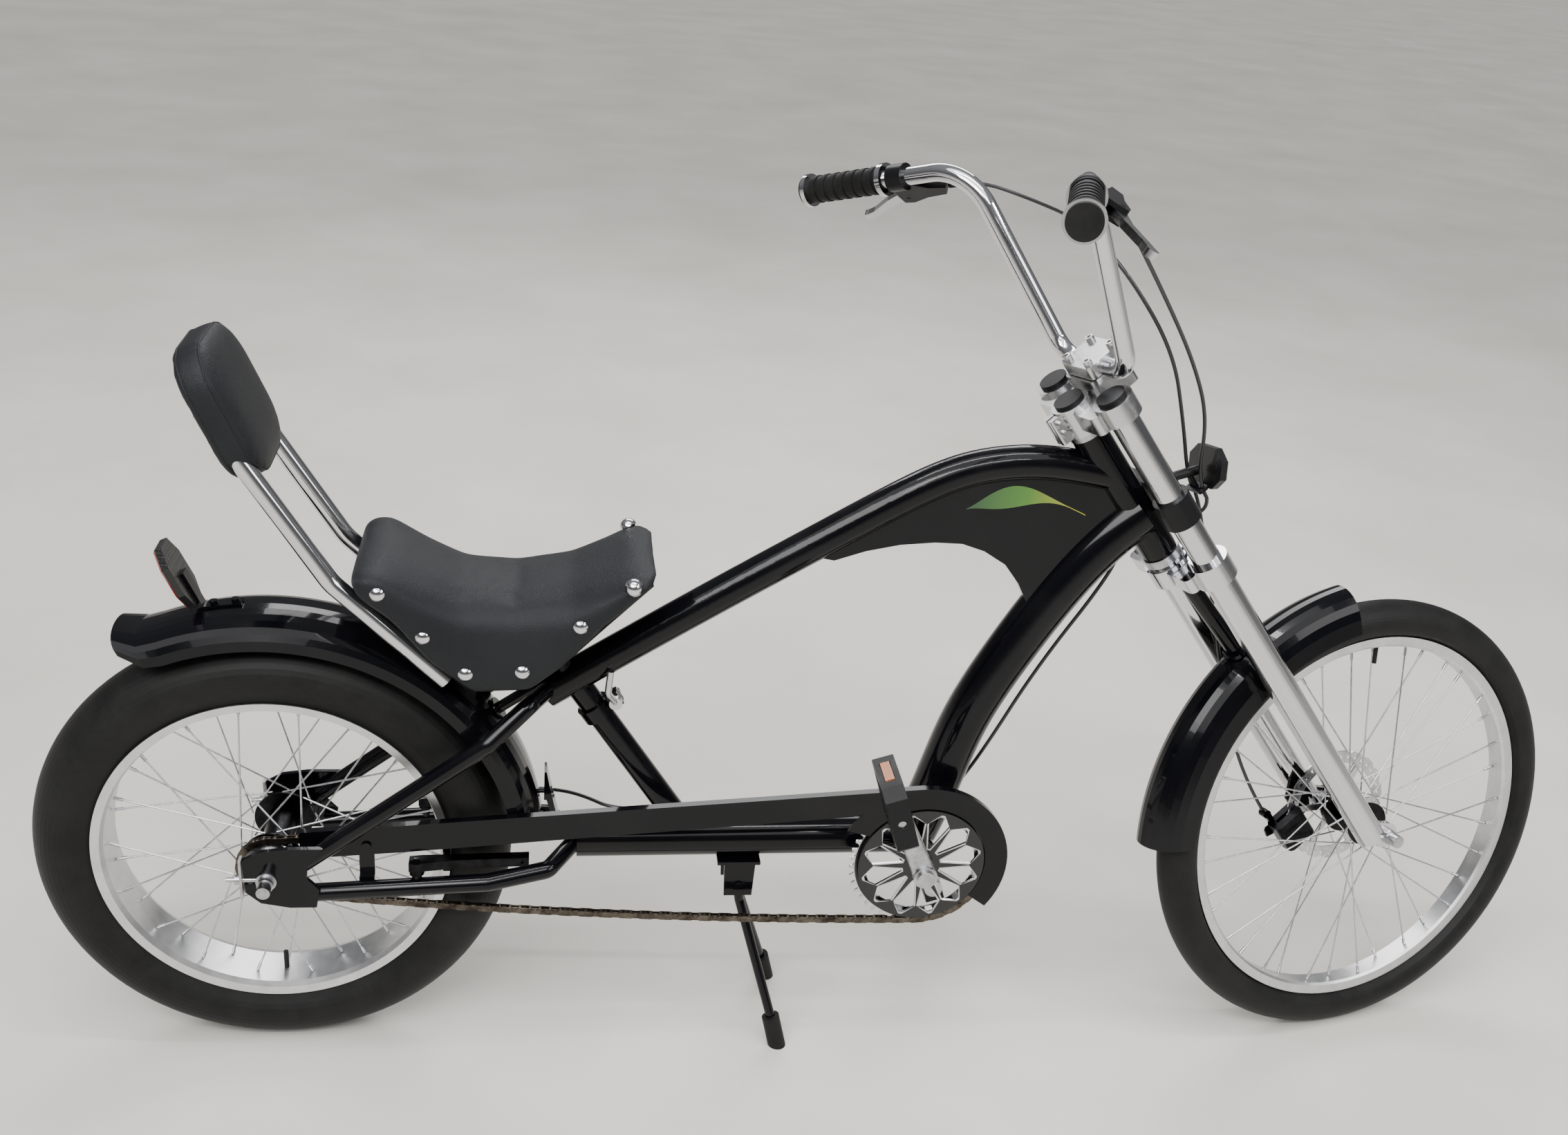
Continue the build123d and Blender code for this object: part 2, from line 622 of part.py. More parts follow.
def fender_brackets():
    """Strap from the seat-stay yoke, tab on the bottom tube, reflector foot, and their bolts."""
    crown = rear_tyre_radius
    yoke = out_dir * 322.6 + Vector(0, 0, crown)
    step = Vector(cos(bolt_angle), 0, sin(bolt_angle))
    strap = rod(yoke, yoke + out_dir * 70, 7.0)
    pad = rod(yoke, yoke + out_dir * 3, 14.0)
    bolt = rod(yoke - out_dir * 6, yoke, 2.95)
    head = rod(yoke - out_dir * 6, yoke - out_dir * 2.9, 6.0)
    tab = slab([(321.5, 344), (324.5, 344), (337, 302), (372, 300), (372, 306.8), (341, 306.8),
                (329, 360), (324.5, 384), (321.5, 384)], 12.0)
    front_bolt = rod((309, 0, crown + 68), (333, 0, crown + 68), 2.9)
    front_head = rod((325, 0, crown + 68), (331, 0, crown + 68), 6.0)
    foot = slab([(-22, 604.2), (-62, 599.0), (-66, 599.6), (-86, 642), (-83, 643.5), (-64.4, 602.4),
                 (-62, 602.0), (-22, 607.2)], 8.0)
    screws = fuse(rod((-30, 0, 597), (-30, 0, 610), 2.4), rod((-30, 0, 606), (-30, 0, 610), 4.5),
                  rod((-54, 0, 594), (-54, 0, 607), 2.4), rod((-54, 0, 603.5), (-54, 0, 607), 4.5))
    yoke_mount = fuse(strap, pad, bolt, head) - right_stays - left_stays - top_tube_solid
    tab = fuse(tab - bottom_tube_solid - front_hole.moved(rear_wheel_place), front_bolt, front_head)
    return Compound([yoke_mount, tab, foot + screws])


save("fender_brackets", fender_brackets() - rear_fender.moved(rear_wheel_place))


def reflector(half_height, half_width, depth):
    """Reflector plate with cut corners, facing local +z, in a shallow dish."""
    with BuildPart() as made:
        with BuildSketch():
            Polygon((half_width, half_height * 0.45), (half_width * 0.55, half_height),
                    (-half_width * 0.55, half_height), (-half_width, half_height * 0.45),
                    (-half_width, -half_height * 0.45), (-half_width * 0.55, -half_height),
                    (half_width * 0.55, -half_height), (half_width, -half_height * 0.45), align=None)
        extrude(amount=depth)
        chamfer(made.faces().sort_by(Axis.Z)[-1].edges(), 3)
    return made.part


reflector_plane = Plane(origin=(-86, 0, 641), x_dir=(0, 1, 0), z_dir=(-0.91, 0, -0.42))
rear_reflector = reflector(40.0, 26.0, 11.0).moved(Location(reflector_plane))
save("rear_reflector", rear_reflector - fender_brackets())


# ---- Seat unit: post and pan, saddle, rivets, sissy bar, backrest -----------------------------

saddle_under = [(112, 652), (148, 618), (190, 572), (238, 534), (304, 537), (340, 566), (388, 616), (440, 668)]
saddle_over = [(104, 672), (116, 684), (136, 686), (184, 664), (227, 646), (285, 640), (349, 652),
               (393, 669), (424, 682), (446, 680)]
post_top = seat_low + seat_dir * 318
post_foot = seat_low + seat_dir * 150


def saddle_slice(rise, drop, inset):
    """One side-view slice of the saddle: underside raised, top lowered, ends drawn in."""
    middle = 275.0
    outline = [(middle + (x - middle) * inset, z + rise) for x, z in saddle_under]
    for x, z in saddle_over[::-1]:
        fade = sin(pi * (x - 96) / 360)
        outline.append((middle + (x - middle) * inset, z - drop * fade))
    return outline


def saddle():
    """Banana saddle: stations across the width, lower and shorter towards the sides."""
    stations = [(-1, 5, 34, 0.93), (-0.95, 1, 20, 0.97), (-0.78, 0, 7, 1), (-0.35, 0, 0, 1),
                (0.35, 0, 0, 1), (0.78, 0, 7, 1), (0.95, 1, 20, 0.97), (1, 5, 34, 0.93)]
    with BuildPart() as made:
        for side, rise, drop, inset in stations:
            with BuildSketch(Plane(origin=(0, side * saddle_half_width, 0), x_dir=(1, 0, 0), z_dir=(0, -1, 0))):
                Polygon(*saddle_slice(rise, drop, inset), align=None)
        loft(ruled=True)
    return made.part


def seat_post():
    """Post, clamp head and the pan that follows the saddle's underside."""
    post = rod(post_foot, post_top, seat_post_radius)
    over = [(x, z) for x, z in saddle_under]
    under = [(440.5, 664.6), (389.5, 612.8), (341.5, 562.8), (305.5, 533.8), (237, 530.8), (188, 569.4),
             (146, 615.4), (110, 649.4)]
    pan = slab(over + under, 66.0)
    clear = rod(post_top, post_top + seat_dir * 60, 30.0)
    head = rod(post_top - seat_dir * 14, post_top, 20.0)
    saddle_block = slab(over + [(440, 720), (112, 720)], 90.0)
    return fuse(post, head, pan) - (clear & saddle_block) - saddle_block


saddle_part = saddle()
seat_post_part = seat_post() - saddle_part
save("seat_post", seat_post_part)
rivets = [(138, 661), (186, 609), (232, 563), (295, 566), (359, 624), (417, 672)]
rivet_solids = []
for side in (-1, 1):
    for x, z in rivets:
        with BuildPart() as dome:
            with Locations((x, side * (saddle_half_width - 6.5), z)):
                Sphere(10.5)
        rivet_solids.append(dome.part)
rivet_shell = Compound([Part(dome.wrapped) - saddle_part for dome in rivet_solids])
save("saddle", saddle_part)
save("saddle_rivets", rivet_shell)

pad_normal = Vector(cos(radians(24)), 0, sin(radians(24)))
pad_plane = Plane(origin=Vector(-19, 0, 848.6) - pad_normal * 23, x_dir=(0, 1, 0), z_dir=pad_normal)


def sissy_bar():
    """Two chrome tubes from inside the backrest, bent under the saddle, with flat ends."""
    side = bent([(-36, -sissy_offset, 857), (86, -sissy_offset, 662), (209.5, -sissy_offset, 541.8)],
                sissy_radius, 60, sissy_radius - 1.6)
    brace = rod((-20, -sissy_offset + 10.5, 831.4), (-20, sissy_offset - 10.5, 831.4), 5.0)
    return fuse(side, mirrored(side), brace) - seat_post_part - saddle_part


def backrest_pad():
    with BuildPart() as made:
        with BuildSketch(pad_plane):
            RectangleRounded(160, 158, 44)
        extrude(amount=45)
        fillet(made.faces().filter_by(Plane(origin=(0, 0, 0), z_dir=pad_normal)).edges(), 15)
    return made.part


sissy = sissy_bar()
pad_solid = backrest_pad()
tube_sides = [bent([(-36, y, 857), (86, y, 662), (209.5, y, 541.8)], sissy_radius + 0.3, 60)
              for y in (-sissy_offset, sissy_offset)]
brace_hole = rod((-20, -sissy_offset, 831.4), (-20, sissy_offset, 831.4), 5.3)
save("sissy_bar", sissy)
save("backrest_pad", pad_solid - fuse(tube_sides[0], tube_sides[1], brace_hole))


# ---- Seat collar with its quick-release lever -------------------------------------------------

collar_at = seat_low + seat_dir * 223
collar_plane = Plane(origin=collar_at, x_dir=(0, 1, 0), z_dir=seat_dir)
with BuildPart() as collar:
    with BuildSketch(collar_plane):
        Circle(20.5)
        with Locations((0, -25.5)):
            Rectangle(16, 17)
        Circle(seat_tube_radius + clearance, mode=Mode.SUBTRACT)
        with Locations((0, -28)):
            Rectangle(2.5, 26, mode=Mode.SUBTRACT)
    extrude(amount=9, both=True)
pin_at = collar_at + collar_plane.y_dir * -27.5
save("seat_collar", collar.part - rod(pin_at + Vector(0, -40, 0), pin_at + Vector(0, 40, 0), 3.0))


def collar_lever():
    """Cam lever on its cross pin; it swings about the pin."""
    pin = rod(pin_at + Vector(0, -15, 0), pin_at + Vector(0, 14, 0), 2.95)
    nut = rod(pin_at + Vector(0, 8.3, 0), pin_at + Vector(0, 14, 0), 7.0)
    cam = rod(pin_at + Vector(0, -17, 0), pin_at + Vector(0, -8.3, 0), 8.0)
    blade = bent([pin_at + Vector(0, -13, 0), pin_at + seat_dir * 22 + Vector(2, -24, 0),
                  pin_at + seat_dir * 60 + Vector(26, -25, 0)], 4.2, 14)
    return fuse(pin, nut, cam, blade)


save("collar_lever", collar_lever())


# ---- Stand ------------------------------------------------------------------------------------

def stand_leg():
    top = Vector(stand_x, -11, stand_z)
    knee = Vector(stand_x + 4, -12, stand_z - 30)
    low = Vector(stand_x + 52, -stand_half_width + 7, 36)
    end = Vector(stand_x + 60, -stand_half_width + 1, 6)
    return bent([top, knee, low, end], 6.2, [12, 20])


def stand_foot():
    """Rubber foot, flat on the ground."""
    start = Vector(stand_x + 50.5, -stand_half_width + 8.2, 41)
    end = Vector(stand_x + 64, -stand_half_width - 2, -12)
    foot = rod(start, end, 11.5)
    below = slab([(stand_x, -60), (stand_x + 120, -60), (stand_x + 120, 0), (stand_x, 0)], 120)
    return foot - below - stand_leg()


cross_tube = rod((stand_x, -19.5, stand_z), (stand_x, 19.5, stand_z), 9.0)
pin_bore = rod((stand_x, -30, stand_z), (stand_x, 30, stand_z), 5.0 + clearance)
legs = fuse(cross_tube, stand_leg(), mirrored(stand_leg())) - pin_bore
save("stand_legs", legs)
save("stand_feet", Compound([stand_foot(), mirrored(stand_foot())]))


# ---- Steered assembly, in the fork's own axes ---------------------------------------------------

stem_radius = 13.45
crown_top = head_bottom - 15.0
crown_base = crown_top - 26.0
bar_radius = 11.1
bar_centre = Vector(51, 0, 118)
leg_bottom = -642.0
axle_at = Vector(fork_rake, 0, -axle_drop)


def block(low, high, radius=0.0):
    """A box between two corners, its upright edges rounded."""
    size = Vector(*high) - Vector(*low)
    middle = (Vector(*high) + Vector(*low)) * 0.5
    with BuildPart() as made:
        with Locations(middle):
            Box(size.X, size.Y, size.Z)
        if radius:
            fillet(made.edges().filter_by(Axis.Z), radius)
    return made.part


def both_sides(part):
    return part + mirrored(part)


def lower_crown():
    boss = both_sides(rod((leg_offset, leg_spacing, crown_base), (leg_offset, leg_spacing, crown_top + 4), 25.0))
    web = block((-16, -leg_spacing, crown_base + 3), (30, leg_spacing, crown_top - 3), 8)
    race = rod((0, 0, crown_top), (0, 0, head_bottom - 11), 21.0)
    stem = rod((0, 0, crown_base), (0, 0, 103.9), stem_radius)
    centre = rod((0, 0, crown_base), (0, 0, crown_top), 27.0)
    bores = both_sides(rod((leg_offset, leg_spacing, -300), (leg_offset, leg_spacing, 0), 17.02))
    strut_bore = rod((8, 0, crown_base - 1), (8, 0, crown_base + 12), 5.02)
    return fuse(boss, web, race, stem, centre) - bores - strut_bore


def upper_clamp():
    """Top clamp with its bar cradle, the cradle's cap and four bolts."""
    low = head_top + 7.1
    centre = rod((0, 0, low), (0, 0, 104), 24.0)
    boss = both_sides(rod((leg_offset, leg_spacing, 78), (leg_offset, leg_spacing, 104), 24.0))
    web = block((-12, -leg_spacing, 74), (32, leg_spacing, 98), 8)
    ears = block((-36, -9, low + 2), (-10, 9, 102), 3) - block((-40, -1.5, 0), (-14, 1.5, 120))
    cradle = block((22, -31, 84), (76, 31, 117.6), 7)
    cap = block((26, -31, 118.6), (76, 31, 135), 7)
    bores = both_sides(rod((leg_offset, leg_spacing, 0), (leg_offset, leg_spacing, 200), 17.02))
    bores = bores + rod((0, 0, 0), (0, 0, 200), stem_radius + 0.02)
    bar = rod((bar_centre.X, -40, bar_centre.Z), (bar_centre.X, 40, bar_centre.Z), bar_radius + 0.02)
    plug_room = rod((0, 0, 104), (0, 0, 140), 19.0)
    bolts = [(34, -22), (34, 22), (69, -22), (69, 22)]
    shanks = [rod((x, y, 100), (x, y, 135), 3.02) for x, y in bolts]
    pieces = [fuse(rod((x, y, 100.1), (x, y, 135), 3.0), rod((x, y, 135), (x, y, 141), 5.2)
                   - rod((x, y, 137.5), (x, y, 142), 2.6)) for x, y in bolts]
    side_bolts = [fuse(rod((-27, -9, z), (-27, -14, z), 5.0)) for z in (78, 92)]
    clamp = fuse(centre, boss, web, ears, cradle) - bores - bar - fuse(*shanks)
    return Compound([clamp, cap - bar - plug_room - fuse(*shanks)] + pieces + side_bolts)


def fork_trim():
    """Black plastic: steerer cap, leg plugs and the collar that joins the legs."""
    cap = rod((0, 0, 104.1), (0, 0, 108), 18.0)
    plug = rod((leg_offset, leg_spacing, 104.1), (leg_offset, leg_spacing, 109), 17.5)
    collar = both_sides(rod((leg_offset, leg_spacing, -80), (leg_offset, leg_spacing, -43), 22.0))
    bridge = block((26, -leg_spacing, -80), (41, leg_spacing, -43), 4)
    bores = both_sides(rod((leg_offset, leg_spacing, -300), (leg_offset, leg_spacing, 0), 17.02))
    arm = bent([(38, 0, -62), (66, 0, -66), (96, 0, -80)], 6.0, 14)
    guide = block((75, -16, -100), (89, 16, -96), 4)
    guide = guide - both_sides(rod((82, 10, -130), (82, 10, -90), 2.9))
    link = rod((82, 0, -99), (82, 0, -74), 3.0)
    return Compound([cap, plug, mirrored(plug), fuse(collar, bridge, arm, link, guide) - bores])


def fork_legs():
    upper = rod((leg_offset, leg_spacing, crown_base), (leg_offset, leg_spacing, 104), upper_leg_radius)
    lower = rod((leg_offset, leg_spacing, leg_bottom), (leg_offset, leg_spacing, crown_base), leg_radius)
    lug = slab([(8, -636), (30, -622), (48, -642), (56, -656), (50, -672), (34, -672), (20, -655)], 4.5, 62.0)
    lug = lug + rod((axle_at.X, 57.5, axle_at.Z), (axle_at.X, 66.5, axle_at.Z), 17.0)
    lug = lug - rod((axle_at.X, 50, axle_at.Z), (axle_at.X, 80, axle_at.Z), 5.02)
    side = fuse(upper, lower, lug) - rod((axle_at.X, 66.6, axle_at.Z), (axle_at.X, 120, axle_at.Z), 13.0)
    return side


left_leg = fork_legs()
save("fork_legs", Compound([left_leg, mirrored(left_leg)]), steered)
save("lower_crown", lower_crown(), steered)
save("upper_clamp", upper_clamp(), steered)


def front_axle():
    shaft = rod((0, -84, 0), (0, 84, 0), 5.0)
    cones = rod((0, 40.1, 0), (0, 57.4, 0), 8.0) + rod((0, -30.1, 0), (0, -57.4, 0), 8.0)
    nut = rod((0, 66.7, 0), (0, 76, 0), 10.0) + rod((0, 76, 0), (0, 90, 0), 8.5)
    return fuse(shaft, cones, nut, mirrored(nut))


save("front_axle", front_axle(), steered * Location(axle_at))


def front_fender():
    blade = fender(336.0, 279.0, 36.0, 12.0, 90.0)
    hole_dir = Vector(8 - fork_rake, 0, crown_base + axle_drop).normalized()
    return blade - rod(hole_dir * 320, hole_dir * 345, 3.0)


def fender_strut():
    """Black strut from the crown to the fender, with its bolt."""
    start = Vector(8, 0, crown_base)
    toward = (start - axle_at).normalized()
    foot = axle_at + toward * 336.3
    body = rod(foot, start, 11.0) + rod(foot, foot + toward * 5, 17.0)
    spigot = rod(start, start + Vector(0, 0, 11.5), 5.0)
    bolt = rod(foot - toward * 6, foot, 2.95) + rod(foot - toward * 6, foot - toward * 2.7, 6.0)
    return fuse(body - block((-40, -40, crown_base), (40, 40, 0)), spigot, bolt)


wheel_axes = Location(axle_at, (0, 90 - head_angle, 0))
blade_part = front_fender().moved(wheel_axes)
save("front_fender", Compound([blade_part, fender_strut() - blade_part]), steered)

# Handlebar, grips and levers
grip_end = Vector(-26, -335, 400)
bar_knee = Vector(92, -136, 356)
bar_foot = Vector(51, -68, 118)
bar_points = [grip_end, bar_knee, bar_foot, Vector(51, 68, 118), Vector(92, 136, 356), Vector(-26, 335, 400)]
handlebar = bent(bar_points, bar_radius, [70, 36, 36, 70], bar_radius - 1.8)
grip_dir = (bar_knee - grip_end).normalized()


def along_grip(distance):
    return grip_end + grip_dir * distance


def grip():
    """Ribbed rubber grip with a closed end."""
    sleeve = rod(along_grip(6.1), along_grip(113.9), 16.0, bar_radius + 0.05)
    for i in range(7):
        ridge = along_grip(14 + i * 14.5)
        sleeve = sleeve + rod(ridge, ridge + grip_dir * 6, 17.2, bar_radius + 0.05)
    end = rod(along_grip(-4), along_grip(-0.1), 17.5)
    return Compound([sleeve, end])


def grip_rings():
    outer = rod(along_grip(0.1), along_grip(6), 20.5, bar_radius + 0.05)
    inner = rod(along_grip(114), along_grip(121), 20.0, bar_radius + 0.05)
    return Compound([outer, inner])


flat_dir = grip_dir.cross(Vector(0, 0, 1)).normalized()
down_dir = grip_dir.cross(flat_dir).normalized()
lever_droop = radians(62)
reach_dir = flat_dir * cos(lever_droop) + down_dir * sin(lever_droop)
lever_origin = along_grip(138)
lever_plane = Plane(origin=lever_origin, x_dir=grip_dir * -1, z_dir=(grip_dir * -1).cross(reach_dir))
lever_pivot = (6, 35)


def flat_part(outline, low, high):
    """A plate in the lever's own plane."""
    with BuildPart() as made:
        with BuildSketch(Plane.XY.offset(low)):
            Polygon(*outline, align=None)
        extrude(amount=high - low)
    return made.part


def lever_bracket():
    """Black clamp and body with the lever's slot, pivot pin and cable barrel."""
    clamp = rod((-11, 0, 0), (11, 0, 0), 16.5)
    body = flat_part([(-11, 4), (11, 4), (16, 26), (15, 42), (2, 44), (-22, 37), (-50, 35), (-56, 22), (-34, 18)],
                     -9, 9)
    slot = flat_part([(-13, 22), (30, 22), (30, 60), (-13, 60)], -4.1, 4.1)
    tube = rod((-60, 0, 0), (20, 0, 0), bar_radius + 0.05)
    pin = rod((*lever_pivot, -9.5), (*lever_pivot, 9.5), 2.5)
    barrel = rod((-68, 28.5, 0), (-56, 28.5, 0), 5.0) + rod((-74, 28.5, 0), (-68, 28.5, 0), 3.6)
    bore = rod((-80, 28.5, 0), (-56, 28.5, 0), 2.6)
    return fuse(clamp, body, barrel) - slot - tube - bore + pin


def brake_lever():
    blade = flat_part([(-4, 26), (14, 28), (42, 40), (76, 60), (93, 66), (96, 72), (87, 76), (70, 68), (36, 50),
                       (8, 44), (-6, 42)], -3.9, 3.9)
    tip = rod((91, 71, -3.9), (91, 71, 3.9), 6.5)
    return fuse(blade, tip) - rod((*lever_pivot, -8), (*lever_pivot, 8), 2.5 + clearance)


lever_place = Location(lever_plane)
right_bracket = lever_bracket().moved(lever_place)
right_lever = brake_lever().moved(lever_place)
save("handlebar", handlebar, steered)
save("grips", Compound([grip(), mirrored(grip())]), steered)
save("grip_rings", Compound([grip_rings(), mirrored(grip_rings())]), steered)
save("lever_brackets", Compound([right_bracket, mirrored(right_bracket)]), steered)
save("right_brake_lever", right_lever, steered)
save("left_brake_lever", mirrored(right_lever), steered)

reflector_front = Plane(origin=(104, 0, -82), x_dir=(0, 1, 0), z_dir=(ahead_dir.X, 0, -ahead_dir.Z))
front_reflector = reflector(25.0, 33.0, 12.0).moved(Location(reflector_front))
save("front_reflector", front_reflector, steered)
save("fork_trim", fork_trim() - front_reflector, steered)

# Front disc caliper with its arm
caliper_at = Vector(-30, 0, -632)
cable_radius = 2.4


def front_caliper():
    body = block((-54, 21, -655), (-8, 50, -611), 8)
    slot = block((-44, 34.0, -700), (10, 40.0, -560))
    mount = slab([(-12, -600), (26, -560), (30, -590), (10, -640), (-12, -640)], 2.4, 47.6)
    pivot = rod((caliper_at.X, 50, caliper_at.Z), (caliper_at.X, 60, caliper_at.Z), 5.0)
    stop = rod((-46, 47, -600), (-46, 59, -600), 6.0) + block((-50, 44, -612), (-42, 50, -598))
    stop = stop - rod((-46, 55, -560), (-46, 55, -640), cable_radius + clearance)
    return fuse(body, mount, pivot, stop) - slot - left_leg


def caliper_arm():
    arm = slab([(-36, -640), (-24, -640), (-20, -628), (-38, -588 - 28), (-60, -622), (-62, -632)], 1.7, 52.1)
    arm = arm + rod((-54, 50.4, -626), (-54, 57.5, -626), 3.2)
    return arm - rod((caliper_at.X, 40, caliper_at.Z), (caliper_at.X, 70, caliper_at.Z), 5.0 + clearance)


save("front_caliper", front_caliper(), steered)
save("caliper_arm", caliper_arm(), steered)


# ---- Rear brake arms and cables -----------------------------------------------------------------

def brake_arm():
    """Right arm on its chainstay pivot, with its pad beside the rim."""
    with BuildPart() as made:
        with BuildSketch(Plane.XY.offset(286.5)):
            Polygon((163, -79), (178, -79), (216, -73), (305, -69), (305, -56), (216, -60), (178, -61),
                    (163, -63), align=None)
        extrude(amount=12)
    boss = rod((172, 4 - stay_offset, 280.2), (172, 4 - stay_offset, 298), 9.0)
    post = rod((205, -66, 291), (205, -46.4, 291), 3.5)
    pad = block((201, -46.5, 264), (209.5, -38.6, 314))
    bore = rod((172, 4 - stay_offset, 270), (172, 4 - stay_offset, 310), 3.9 + clearance)
    wire_way = rod((297, -90, 292), (297, -40, 292), 1.8)
    return fuse(made.part, boss, post, pad) - bore - wire_way


right_arm = brake_arm()
housing_way = rod((297, 40, 292), (297, 90, 292), 3.4)
save("right_brake_arm", right_arm)
save("left_brake_arm", mirrored(right_arm) - housing_way)


def cable(points, radius):
    """A cable along straight runs with an arc at every corner, each as wide as its runs allow."""
    spots = [Vector(*p) for p in points]
    bends = []
    for before, corner, after in zip(spots, spots[1:], spots[2:]):
        run_in = corner - before
        run_out = after - corner
        cosine = run_in.dot(run_out) / run_in.length / run_out.length
        half_turn = acos(cosine) / 2
        bends.append(0.45 * min(run_in.length, run_out.length) * cos(half_turn) / sin(half_turn))
    return bent(spots, radius, bends)


def lever_point(across, reach):
    """A point of the right lever's own plane, in the fork's axes."""
    return lever_origin - grip_dir * across + reach_dir * reach


def flipped(point):
    return Vector(point.X, -point.Y, point.Z)


front_route = [flipped(lever_point(-60, 28.5)), flipped(lever_point(-96, 28.5)), Vector(124, 96, 290),
               Vector(134, 28, 256), Vector(128, -26, 190), Vector(128, -28, 80), Vector(112, 8, -20),
               Vector(82, 10, -84), Vector(82, 10, -112), Vector(64, 22, -180), Vector(32, 36, -280),
               Vector(-8, 50, -400), Vector(-44, 55, -520), Vector(-46, 55, -596)]
rear_upper = [lever_point(-60, 28.5), lever_point(-96, 28.5), Vector(122, -92, 180), Vector(136, -44, 60),
              Vector(126, -24, -20), Vector(82, -10, -84), Vector(82, -10, -110)]
front_wire = rod((-46, 55, -596.1), (-46, 55, -630), 0.9)
cables = [cable(front_route, cable_radius), cable(rear_upper, cable_radius), front_wire]
save("lever_cables", Compound(cables), steered)


def in_row(x, y, z):
    """A point of the straight steering axes, in the row frame."""
    return axis_point + ahead_dir * x + Vector(0, y, 0) + axis_dir * z


guide_exit = steered * Location((82, -10, -111.1))
guide_below = steered * Location((76, -8, -130))
rear_route = [guide_exit.position, guide_below.position, in_row(34, 35, -124), in_row(-4, 39, -120),
              in_row(-34, 36, -118), Vector(1004, 12, 652), Vector(927, 0, 531), Vector(872, 0, 404),
              Vector(846, 24, 330), Vector(800, 50, 304), Vector(700, 31, 300), Vector(420, 31, 296),
              Vector(366, 74, 298), Vector(322, 94, 293), Vector(297, 94, 292), Vector(297, 66, 292)]
rear_cable = cable(rear_route, cable_radius)
rear_wire = rod((297, 65.9, 292), (297, -76, 292), 0.9)
save("rear_brake_cable", Compound([rear_cable, rear_wire]))
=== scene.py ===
import bmesh
import bpy
import json
from math import cos, pi, radians, sin, tau
from mathutils import Matrix, Vector


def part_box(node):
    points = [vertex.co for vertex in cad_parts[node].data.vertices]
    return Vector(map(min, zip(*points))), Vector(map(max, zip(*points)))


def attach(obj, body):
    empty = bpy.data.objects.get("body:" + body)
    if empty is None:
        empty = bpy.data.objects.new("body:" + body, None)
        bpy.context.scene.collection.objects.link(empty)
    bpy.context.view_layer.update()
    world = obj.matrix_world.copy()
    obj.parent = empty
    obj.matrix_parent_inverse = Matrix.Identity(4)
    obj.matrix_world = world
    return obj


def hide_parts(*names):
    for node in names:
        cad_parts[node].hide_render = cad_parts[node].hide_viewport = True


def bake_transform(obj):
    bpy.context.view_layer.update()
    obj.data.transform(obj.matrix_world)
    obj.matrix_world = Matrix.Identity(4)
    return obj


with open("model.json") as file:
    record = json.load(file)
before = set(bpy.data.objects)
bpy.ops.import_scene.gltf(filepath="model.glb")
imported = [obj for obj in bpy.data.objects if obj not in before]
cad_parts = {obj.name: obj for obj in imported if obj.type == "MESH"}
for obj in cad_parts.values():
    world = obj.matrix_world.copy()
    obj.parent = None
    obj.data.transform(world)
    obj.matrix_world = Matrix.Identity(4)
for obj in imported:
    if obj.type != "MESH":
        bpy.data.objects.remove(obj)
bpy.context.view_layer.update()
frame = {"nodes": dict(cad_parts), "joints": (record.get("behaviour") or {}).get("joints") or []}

# A chopper cruiser bicycle. The frame brings every metal, plastic and rubber piece, and this script
# gives each its finish. It makes the saddle, the backrest, the cables and the decal itself.

joints = {joint["name"]: joint for joint in frame["joints"]}


# ---- Where things are --------------------------------------------------------------------

steering = joints["steering_turn"]
fork_up = Vector(steering["axis"]).normalized()
fork_origin = Vector(steering["pos_m"])
fork_left = Vector(joints["front_wheel_spin"]["axis"]).normalized()
fork_ahead = fork_left.cross(fork_up).normalized()
straight_ahead = Vector((fork_up.z, 0, -fork_up.x))
front_axle = Vector(joints["front_wheel_spin"]["pos_m"])
rear_axle = Vector(joints["rear_wheel_spin"]["pos_m"])
crank_axle = Vector(joints["crank_turn"]["pos_m"])


def in_fork(x, y, z):
    """A point given in millimetres along the fork's own axes."""
    return fork_origin + (fork_ahead * x + fork_left * y + fork_up * z) * 0.001


def in_row(x, y, z):
    """A point in millimetres along the axes of the fork when it points straight ahead."""
    return fork_origin + (straight_ahead * x + Vector((0, y, 0)) + fork_up * z) * 0.001


# ---- Shader maths ------------------------------------------------------------------------

class Value:
    """A shader socket that takes part in sums; each operation adds a Math node."""

    def __init__(self, finish, socket):
        self.finish = finish
        self.socket = socket

    def __add__(self, other):
        return self.finish.maths("ADD", self, other)

    __radd__ = __add__

    def __sub__(self, other):
        return self.finish.maths("SUBTRACT", self, other)

    def __rsub__(self, other):
        return self.finish.maths("SUBTRACT", other, self)

    def __mul__(self, other):
        return self.finish.maths("MULTIPLY", self, other)

    __rmul__ = __mul__

    def __truediv__(self, other):
        return self.finish.maths("DIVIDE", self, other)

    def __gt__(self, other):
        return self.finish.maths("GREATER_THAN", self, other)

    def __lt__(self, other):
        return self.finish.maths("LESS_THAN", self, other)

    def __abs__(self):
        return self.finish.maths("ABSOLUTE", self)


